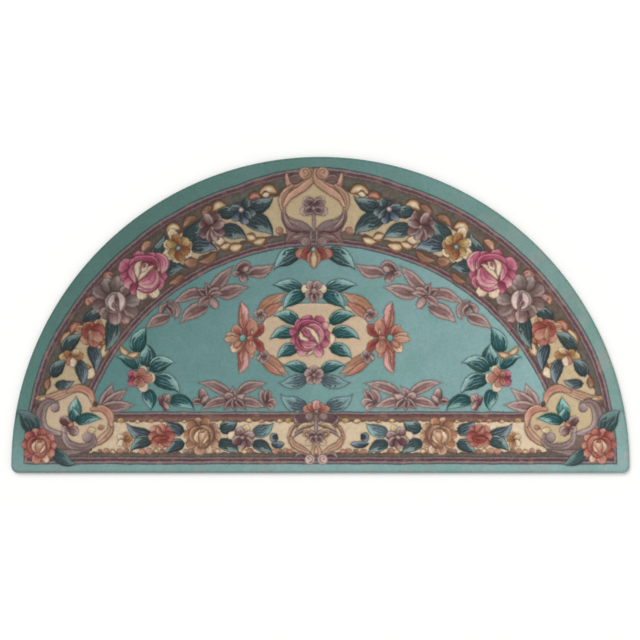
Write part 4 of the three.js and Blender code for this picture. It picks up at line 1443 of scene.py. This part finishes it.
def sampled(design, x, y):
    """Dye and carved height at points of the rug."""
    column = np.clip((x - design.x[0]) / CELL, 0, len(design.x) - 2)
    row = np.clip((y - design.y[0]) / CELL, 0, len(design.y) - 2)
    i, j = row.astype(int), column.astype(int)
    both = np.concatenate([design.colour, design.rise[..., None]], axis=2)
    value = between(both, i, j, (row - i)[:, None], (column - j)[:, None])
    return value[:, :3], value[:, 3]


def mesh_object(name, points, faces, colours=None, flat=None, normals=None):
    """A smooth mesh object from points in millimetres, with dyes and a flat map where given."""
    used, corners = np.unique(faces[faces >= 0], return_inverse=True)
    sides = (faces >= 0).sum(axis=1)
    mesh = bpy.data.meshes.new(name)
    mesh.vertices.add(len(used))
    mesh.vertices.foreach_set("co", (points[used] * MM).astype(np.float32).ravel())
    mesh.loops.add(len(corners))
    mesh.loops.foreach_set("vertex_index", corners.astype(np.int32))
    mesh.polygons.add(len(faces))
    mesh.polygons.foreach_set("loop_start", np.concatenate([[0], np.cumsum(sides)[:-1]]).astype(np.int32))
    mesh.polygons.foreach_set("use_smooth", np.ones(len(faces), bool))
    if colours is not None:
        layer = mesh.color_attributes.new("dye", "FLOAT_COLOR", "POINT")
        layer.data.foreach_set("color", np.pad(colours[used], ((0, 0), (0, 1)), constant_values=1).ravel())
    if flat is not None:
        layer = mesh.uv_layers.new(name="OFBake")
        low, high = flat[used].min(0), flat[used].max(0)
        spread = 0.01 + 0.98 * (flat[used] - low) / (high - low).max()
        layer.data.foreach_set("uv", spread[corners].astype(np.float32).ravel())
    mesh.update(calc_edges=True)
    mesh.validate()
    if normals is not None:
        mesh.normals_split_custom_set_from_vertices(normals[used].astype(np.float32))
    made = bpy.data.objects.new(name, mesh)
    bpy.context.scene.collection.objects.link(made)
    return made


def point_normals(points, faces):
    """Smooth normals of points from the faces round them."""
    a, b = points[faces[:, 1]] - points[faces[:, 0]], points[faces[:, 2]] - points[faces[:, 0]]
    across = np.cross(a, b)
    total = np.zeros_like(points)
    for i in range(4):
        held = faces[:, i] >= 0
        for axis in range(3):
            total[:, axis] += np.bincount(faces[held, i], across[held, axis], len(points))
    return total / np.maximum(np.linalg.norm(total, axis=1), 1e-9)[:, None]


def pile_surface(design, spacing, seed=7):
    """Points, faces, dyes and flat places of the whole pile, top and side."""
    chance = np.random.default_rng(seed)
    grid, faces, rim = half_moon_grid(spacing, PILE_SIDE[0][1])
    # Tufts don't stand in rows, so each point takes its dye and height from a little beside it
    colour, rise = sampled(design, *(grid + chance.uniform(-0.45, 0.45, grid.shape)).T)
    x, y = grid.T
    rise = rise + chance.uniform(-0.1, 0.1, len(rise)) + 0.25 * noise(x, y, 22, 5)
    colour = colour * (1 + 0.05 * noise(x, y, 3.2, 8) + 0.03 * noise(x, y, 9, 9))[:, None]
    points, flat, colours = [np.column_stack([grid, rise])], [grid], [colour]
    away = outward(grid[rim])
    rings, path = [rim], 0
    for (height, inset), (low, outer) in zip(PILE_SIDE, PILE_SIDE[1:]):
        path += math.hypot(height - low, inset - outer)
        rings.append(len(grid) + (len(rings) - 1) * len(rim) + np.arange(len(rim)))
        level = np.full(len(rim), low) + chance.uniform(-0.2, 0.2, len(rim))
        points.append(np.column_stack([on_outline(grid[rim], away, outer), level]))
        flat.append(grid[rim] + away * path)
        colours.append(colour[rim])
    whole = np.vstack([faces, *walls(rings)])
    return np.vstack(points), whole, np.vstack(colours), np.vstack(flat), len(faces)


def pile_zones(points, faces, top_faces):
    """The name of the pile's zone for each face."""
    corner = points[faces[:, 0]]
    from_edge, from_field, _, _ = guard_distances(corner[:, 0], corner[:, 1])
    half = np.where(corner[:, 0] < 0, "left", "right")
    zone = np.where(from_field < 0, np.char.add("pile_field_", half), np.char.add("pile_arch_border_", half))
    zone = np.where((from_field >= 0) & (corner[:, 1] < FRONT_INNER), "pile_front_border", zone)
    zone = np.where(from_edge < 0, "pile_outer_band", zone)
    zone[top_faces:] = "pile_outer_band"
    return zone


def outline_spots(pitch):
    """Places a pitch apart all the way round the rug."""
    arch = np.linspace(0, math.pi, round(math.pi * RADIUS / pitch))
    turn = np.linspace(math.pi, 1.5 * math.pi, 9)[1:-1]
    straight = RADIUS - CORNER_RADIUS
    crown = np.column_stack([RADIUS * np.cos(arch), ARCH_Y + RADIUS * np.sin(arch)])
    corner = np.column_stack([CORNER_RADIUS * np.cos(turn) - straight, ARCH_Y + CORNER_RADIUS * np.sin(turn)])
    along = np.linspace(-straight, straight, round((WIDTH - 2 * CORNER_RADIUS) / pitch))
    front = np.column_stack([along, np.full(len(along), ARCH_Y - CORNER_RADIUS)])
    return np.vstack([crown, corner, front, corner[::-1] * (-1, 1)])


def tuft_cones(design, pitch, seed=11):
    """Short tapered ends of yarn in rows round the pile's side."""
    chance = np.random.default_rng(seed)
    line = outline_spots(pitch)
    count = len(line)
    points, faces, colours = [], [], []
    for number, row in enumerate(TUFT_ROWS):
        spots = line + (chance.uniform(-0.3, 0.3, line.shape) + 0.35 * pitch * (number % 2))
        away = outward(spots)
        spots = on_outline(spots, away, row.inset)
        colour, _ = sampled(design, *(spots - away * TUFT_DYE).T)
        colour = colour * chance.uniform(0.82, 1.08, (count, 1))
        tilt = row.lean + chance.uniform(-0.25, 0.25, count)
        out = np.column_stack([away * np.cos(tilt)[:, None], np.sin(tilt)])
        side = np.column_stack([-away[:, 1], away[:, 0], np.zeros(count)])
        rise = np.cross(out, side)
        centre = np.column_stack([spots, np.full(count, row.height)])
        for reach, wide in TUFT_RINGS:
            for turn in range(TUFT_SIDES):
                angle = math.radians(360 / TUFT_SIDES * turn)
                spoke = side * math.cos(angle) + rise * math.sin(angle)
                points.append(centre + out * reach + spoke * wide)
                # Painted shade: the ring at each tuft's root, where it enters the pile, is darker, and the
                # tip is a little lighter
                colours.append(colour * (0.75 if reach < 0 else 1))
        points.append(centre + out * TUFT_TIP)
        colours.append(colour * 1.05)
    # Each step of count is the next point of every tuft of a row
    tip, step = len(TUFT_RINGS) * TUFT_SIDES, TUFT_SIDES * count
    for number in range(len(TUFT_ROWS)):
        base = number * (tip + 1) * count + np.arange(count)
        for i in range(tip):
            ring, turn = divmod(i, TUFT_SIDES)
            a, b = base + i * count, base + (ring * TUFT_SIDES + (turn + 1) % TUFT_SIDES) * count
            last = ring == len(TUFT_RINGS) - 1
            ends = (base + tip * count, np.full(count, -1)) if last else (b + step, a + step)
            faces.append(np.stack([a, b, *ends], axis=1))
    return np.vstack(points), np.vstack(faces), np.vstack(colours)


def foundation_slab(thickness, spacing=10):
    """Closed slab of the woven foundation, with its rim a little rounded."""
    grid, faces, rim = half_moon_grid(spacing, FOUNDATION_RIM)
    count = len(grid)
    edge = on_outline(grid[rim], outward(grid[rim]), FOUNDATION_MIDDLE)
    levels = ((grid, thickness), (grid, 0), (edge, thickness / 2))
    points = np.vstack([np.column_stack([flat, np.full(len(flat), float(level))]) for flat, level in levels])
    below = np.where(faces >= 0, faces + count, -1)
    three = below[:, 3] < 0
    below[~three] = below[~three][:, ::-1]
    below[three, :3] = below[three, :3][:, ::-1]
    return points, np.vstack([faces, below, *walls([rim, 2 * count + np.arange(len(rim)), rim + count])])


# Materials


def add(tree, kind, inputs, **settings):
    """Adds a node with its settings, and values or links for its inputs."""
    made = tree.nodes.new(kind)
    for key, value in settings.items():
        setattr(made, key, value)
    for key, value in inputs.items():
        if isinstance(value, bpy.types.NodeSocket):
            tree.links.new(value, made.inputs[key])
        else:
            made.inputs[key].default_value = value
    return made


def material(name, preview):
    """A new node material, its tree, and where on the piece each point lies."""
    made = bpy.data.materials.new(name)
    made.diffuse_color = (*linear(preview), 1)
    made.use_nodes = True
    made.node_tree.nodes.clear()
    return made, made.node_tree, add(made.node_tree, "ShaderNodeTexCoord", {}).outputs["Object"]


def wool_material(knot):
    """Cut wool pile, tufted, sheared and washed: soft and matt, each tuft a dot, with a faint halo."""
    made, tree, place_at = material("cut wool pile", "#698986")
    dyed = add(tree, "ShaderNodeAttribute", {}, attribute_name="dye").outputs["Color"]
    # One cell for each tuft
    tufts = add(tree, "ShaderNodeTexVoronoi", {"Vector": place_at, "Scale": 1 / knot, "Randomness": 0.9})
    # Wool fibres are 0.03 mm thick, so this speckle of 1.1 mm is drawn coarse enough to show
    fibres = add(
        tree, "ShaderNodeTexNoise", {"Vector": place_at, "Scale": 1 / 0.0011, "Detail": 3, "Roughness": 0.6}
    ).outputs["Fac"]
    # The wash leaves lighter and darker clouds a hand wide
    wash = add(
        tree, "ShaderNodeTexNoise", {"Vector": place_at, "Scale": 1 / 0.07, "Detail": 2, "Roughness": 0.55}
    ).outputs["Fac"]
    tuft_tone = add(tree, "ShaderNodeSeparateColor", {"Color": tufts.outputs["Color"]}).outputs["Red"]
    # How far each of them, between its low and its high, makes the dye darker or lighter
    changes = ((tuft_tone, 0, 1, 0.04), (fibres, 0.3, 0.7, 0.05), (wash, 0.3, 0.7, 0.03))
    value = 1.0
    for source, low, high, change in changes:
        spread = {"From Min": low, "From Max": high, "To Min": 1 - change, "To Max": 1 + change}
        tone = add(tree, "ShaderNodeMapRange", {"Value": source, **spread}).outputs[0]
        value = add(tree, "ShaderNodeMath", {0: value, 1: tone}, operation="MULTIPLY").outputs[0]
    colour = add(tree, "ShaderNodeHueSaturation", {"Color": dyed, "Value": value}).outputs[0]
    # Each tuft is a low dome, and its fibres roughen it
    height = 1.0
    for source, factor in ((tufts.outputs["Distance"], -1.0), (fibres, 0.5)):
        height = add(
            tree, "ShaderNodeMath", {0: source, 1: factor, 2: height}, operation="MULTIPLY_ADD"
        ).outputs[0]
    bump = add(tree, "ShaderNodeBump", {"Height": height, "Strength": 0.4, "Distance": 0.0007}).outputs[0]
    rough = add(tree, "ShaderNodeMapRange", {"Value": fibres, "To Min": 0.86, "To Max": 1.0}).outputs[0]
    wool = {
        "Base Color": colour, "Normal": bump, "Roughness": rough, "Specular IOR Level": 0.12,
        "Sheen Weight": 0.08, "Sheen Roughness": 0.45,
    }
    shader = add(tree, "ShaderNodeBsdfPrincipled", wool)
    add(tree, "ShaderNodeOutputMaterial", {"Surface": shader.outputs[0]})
    return made


def canvas_material():
    """Cotton canvas, plain woven and unbleached: flat threads over and under, matt and slightly uneven."""
    made, tree, place_at = material("cotton canvas", "#b9ab90")
    # Threads 1.6 mm apart; a wave of bands repeats 20 times in a unit at scale 20 / 2 pi
    thread = {"Vector": place_at, "Scale": 0.314 / 0.0016, "Distortion": 0.6}
    warp, weft = (
        add(tree, "ShaderNodeTexWave", thread, bands_direction=direction).outputs["Fac"] for direction in "XY"
    )
    weave = add(tree, "ShaderNodeMath", {0: warp, 1: weft}, operation="MULTIPLY").outputs[0]
    # The yarn swells and thins over 12 mm
    uneven = {"Vector": place_at, "Scale": 1 / 0.012, "Detail": 3}
    slub = add(tree, "ShaderNodeTexNoise", uneven).outputs["Fac"]
    # Painted shade: the canvas is darker where the weave dips between its threads, as the bump does; the slub
    # varies its tone
    part = add(tree, "ShaderNodeMath", {0: weave, 1: slub}, operation="MULTIPLY").outputs[0]
    shades = {0: part, 6: (*linear("#8f8168"), 1), 7: (*linear("#cdbfa3"), 1)}
    colour = add(tree, "ShaderNodeMix", shades, data_type="RGBA").outputs[2]
    rough = add(tree, "ShaderNodeMapRange", {"Value": slub, "To Min": 0.8, "To Max": 0.95}).outputs[0]
    bump = add(tree, "ShaderNodeBump", {"Height": weave, "Strength": 0.5, "Distance": 0.0004}).outputs[0]
    shader = add(tree, "ShaderNodeBsdfPrincipled", {"Base Color": colour, "Normal": bump, "Roughness": rough})
    add(tree, "ShaderNodeOutputMaterial", {"Surface": shader.outputs[0]})
    return made


def floor_material(colour):
    """Matt painted board, rolled: even and pale, with a faint tooth."""
    made, tree, place_at = material("matt painted board", "#f2f1ee")
    # The roller leaves a tooth of 4 mm
    rolled = {"Vector": place_at, "Scale": 1 / 0.004, "Detail": 2}
    tooth = add(tree, "ShaderNodeTexNoise", rolled).outputs["Fac"]
    bump = add(tree, "ShaderNodeBump", {"Height": tooth, "Strength": 0.1, "Distance": 0.0002}).outputs[0]
    rough = add(tree, "ShaderNodeMapRange", {"Value": tooth, "To Min": 0.8, "To Max": 0.95}).outputs[0]
    board = {"Base Color": (*colour, 1), "Normal": bump, "Roughness": rough, "Specular IOR Level": 0.2}
    shader = add(tree, "ShaderNodeBsdfPrincipled", board)
    add(tree, "ShaderNodeOutputMaterial", {"Surface": shader.outputs[0]})
    return made


# Tools

DRAWN = {}


def design_of(context):
    """The rug's design, drawn once for its dyes and depths."""
    dyes, sizes = context.scene.rug_dyes, context.scene.rug_sizes
    named = {name: tuple(getattr(dyes, name)) for name in RugDyes.__annotations__}
    key = (*named.values(), sizes.ground, sizes.groove)
    if key not in DRAWN:
        DRAWN.clear()
        DRAWN[key] = draw_design(named, sizes)
    return DRAWN[key]


def held_piece(piece, its_material):
    """Gives a piece of the rug its material and ties it to the model and to its wool."""
    piece.data.materials.append(its_material)
    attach(piece, "root")
    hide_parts("pile_rug")


class RUG_OT_pile(bpy.types.Operator):
    """Builds the carved and dyed wool pile"""

    bl_idname = "rug.pile"
    bl_label = "Carved Pile"

    def execute(self, context):
        sizes = context.scene.rug_sizes
        wool = wool_material(sizes.knot)
        points, faces, colours, flat, top_faces = pile_surface(design_of(context), sizes.spacing / MM)
        normals = point_normals(points, faces)
        zone = pile_zones(points, faces, top_faces)
        for name in sorted(set(zone)):
            held_piece(mesh_object(str(name), points, faces[zone == name], colours, flat, normals), wool)
        return {"FINISHED"}


class RUG_OT_edge_tufts(bpy.types.Operator):
    """Builds the ends of yarn round the pile's side"""

    bl_idname = "rug.edge_tufts"
    bl_label = "Edge Tufts"

    def execute(self, context):
        points, faces, colours = tuft_cones(design_of(context), context.scene.rug_sizes.knot / MM)
        held_piece(mesh_object("edge_tufts", points, faces, colours), bpy.data.materials["cut wool pile"])
        return {"FINISHED"}


class RUG_OT_foundation(bpy.types.Operator):
    """Builds the woven foundation under the pile"""

    bl_idname = "rug.foundation"
    bl_label = "Woven Foundation"

    def execute(self, context):
        points, faces = foundation_slab(context.scene.rug_sizes.foundation / MM)
        piece = mesh_object("woven_foundation", points, faces, flat=points[:, :2])
        held_piece(piece, canvas_material())
        return {"FINISHED"}


# Half width and half depth of the floor
FLOOR_REACH = (6000, 5000)

# The soft light comes from the upper left, as wide as a window
LIGHT_PLACE = (-1.5, 1.9, 2.3)
LIGHT_TURN = (-0.55, -0.42, 0)
LIGHT_WIDTH = math.radians(35)

# The camera looks straight down; the photograph is this wide at the pile and this far off the rug's middle
PHOTO_WIDTH = 1.4172
PHOTO_MIDDLE = (-0.0007, -0.0115)
CAMERA_HEIGHT = 6.0
SENSOR_WIDTH = 36


class RUG_OT_stage(bpy.types.Operator):
    """Builds the pale floor, the soft light and the camera straight above the rug"""

    bl_idname = "rug.stage"
    bl_label = "Studio"

    def execute(self, context):
        scene, stage = context.scene, context.scene.rug_stage
        corners = ((-1, -1), (1, -1), (-1, 1), (1, 1))
        points = np.array([[x * FLOOR_REACH[0], y * FLOOR_REACH[1], 0] for x, y in corners], float)
        floor = mesh_object("studio_floor", points, np.array([[0, 1, 3, 2]]))
        floor.data.materials.append(floor_material(tuple(stage.floor)))
        light = bpy.data.lights.new("soft light", "SUN")
        light.energy, light.angle = stage.key, LIGHT_WIDTH
        camera = bpy.data.cameras.new("camera above")
        camera.sensor_width = SENSOR_WIDTH
        camera.lens = SENSOR_WIDTH * CAMERA_HEIGHT / PHOTO_WIDTH
        camera.clip_end = 50
        lamp, viewer = (bpy.data.objects.new(data.name, data) for data in (light, camera))
        lamp.location, lamp.rotation_euler = LIGHT_PLACE, LIGHT_TURN
        viewer.location = (*PHOTO_MIDDLE, CAMERA_HEIGHT + TOP * MM)
        for made in (lamp, viewer):
            scene.collection.objects.link(made)
        scene.camera = viewer
        scene.world = scene.world or bpy.data.worlds.new("room")
        scene.world.use_nodes = True
        room = scene.world.node_tree.nodes["Background"].inputs
        room["Color"].default_value = (1, 1, 1, 1)
        room["Strength"].default_value = stage.fill
        scene.view_settings.view_transform = "Standard"
        return {"FINISHED"}


class RUG_PT_panel(bpy.types.Panel):
    """Lists the rug's tools, sizes and dyes"""

    bl_idname = "RUG_PT_panel"
    bl_label = "Half-Moon Rug"
    bl_space_type = "VIEW_3D"
    bl_region_type = "UI"
    bl_category = "Rug"

    def draw(self, context):
        for tool in TOOLS:
            self.layout.operator(tool.bl_idname)
        for group in (context.scene.rug_sizes, context.scene.rug_stage, context.scene.rug_dyes):
            box = self.layout.box()
            for name in group.__annotations__:
                box.prop(group, name)


TOOLS = (RUG_OT_pile, RUG_OT_edge_tufts, RUG_OT_foundation, RUG_OT_stage)
GROUPS = {"rug_dyes": RugDyes, "rug_sizes": RugSizes, "rug_stage": RugStage}
CLASSES = (*GROUPS.values(), *TOOLS, RUG_PT_panel)


def register():
    for each in CLASSES:
        bpy.utils.register_class(each)
    for name, group in GROUPS.items():
        setattr(bpy.types.Scene, name, bpy.props.PointerProperty(type=group))


def unregister():
    for name in GROUPS:
        delattr(bpy.types.Scene, name)
    for each in reversed(CLASSES):
        bpy.utils.unregister_class(each)


def main():
    register()
    bpy.ops.rug.stage()
    bpy.ops.rug.pile()
    bpy.ops.rug.edge_tufts()
    bpy.ops.rug.foundation()


if __name__ == "__main__":
    main()
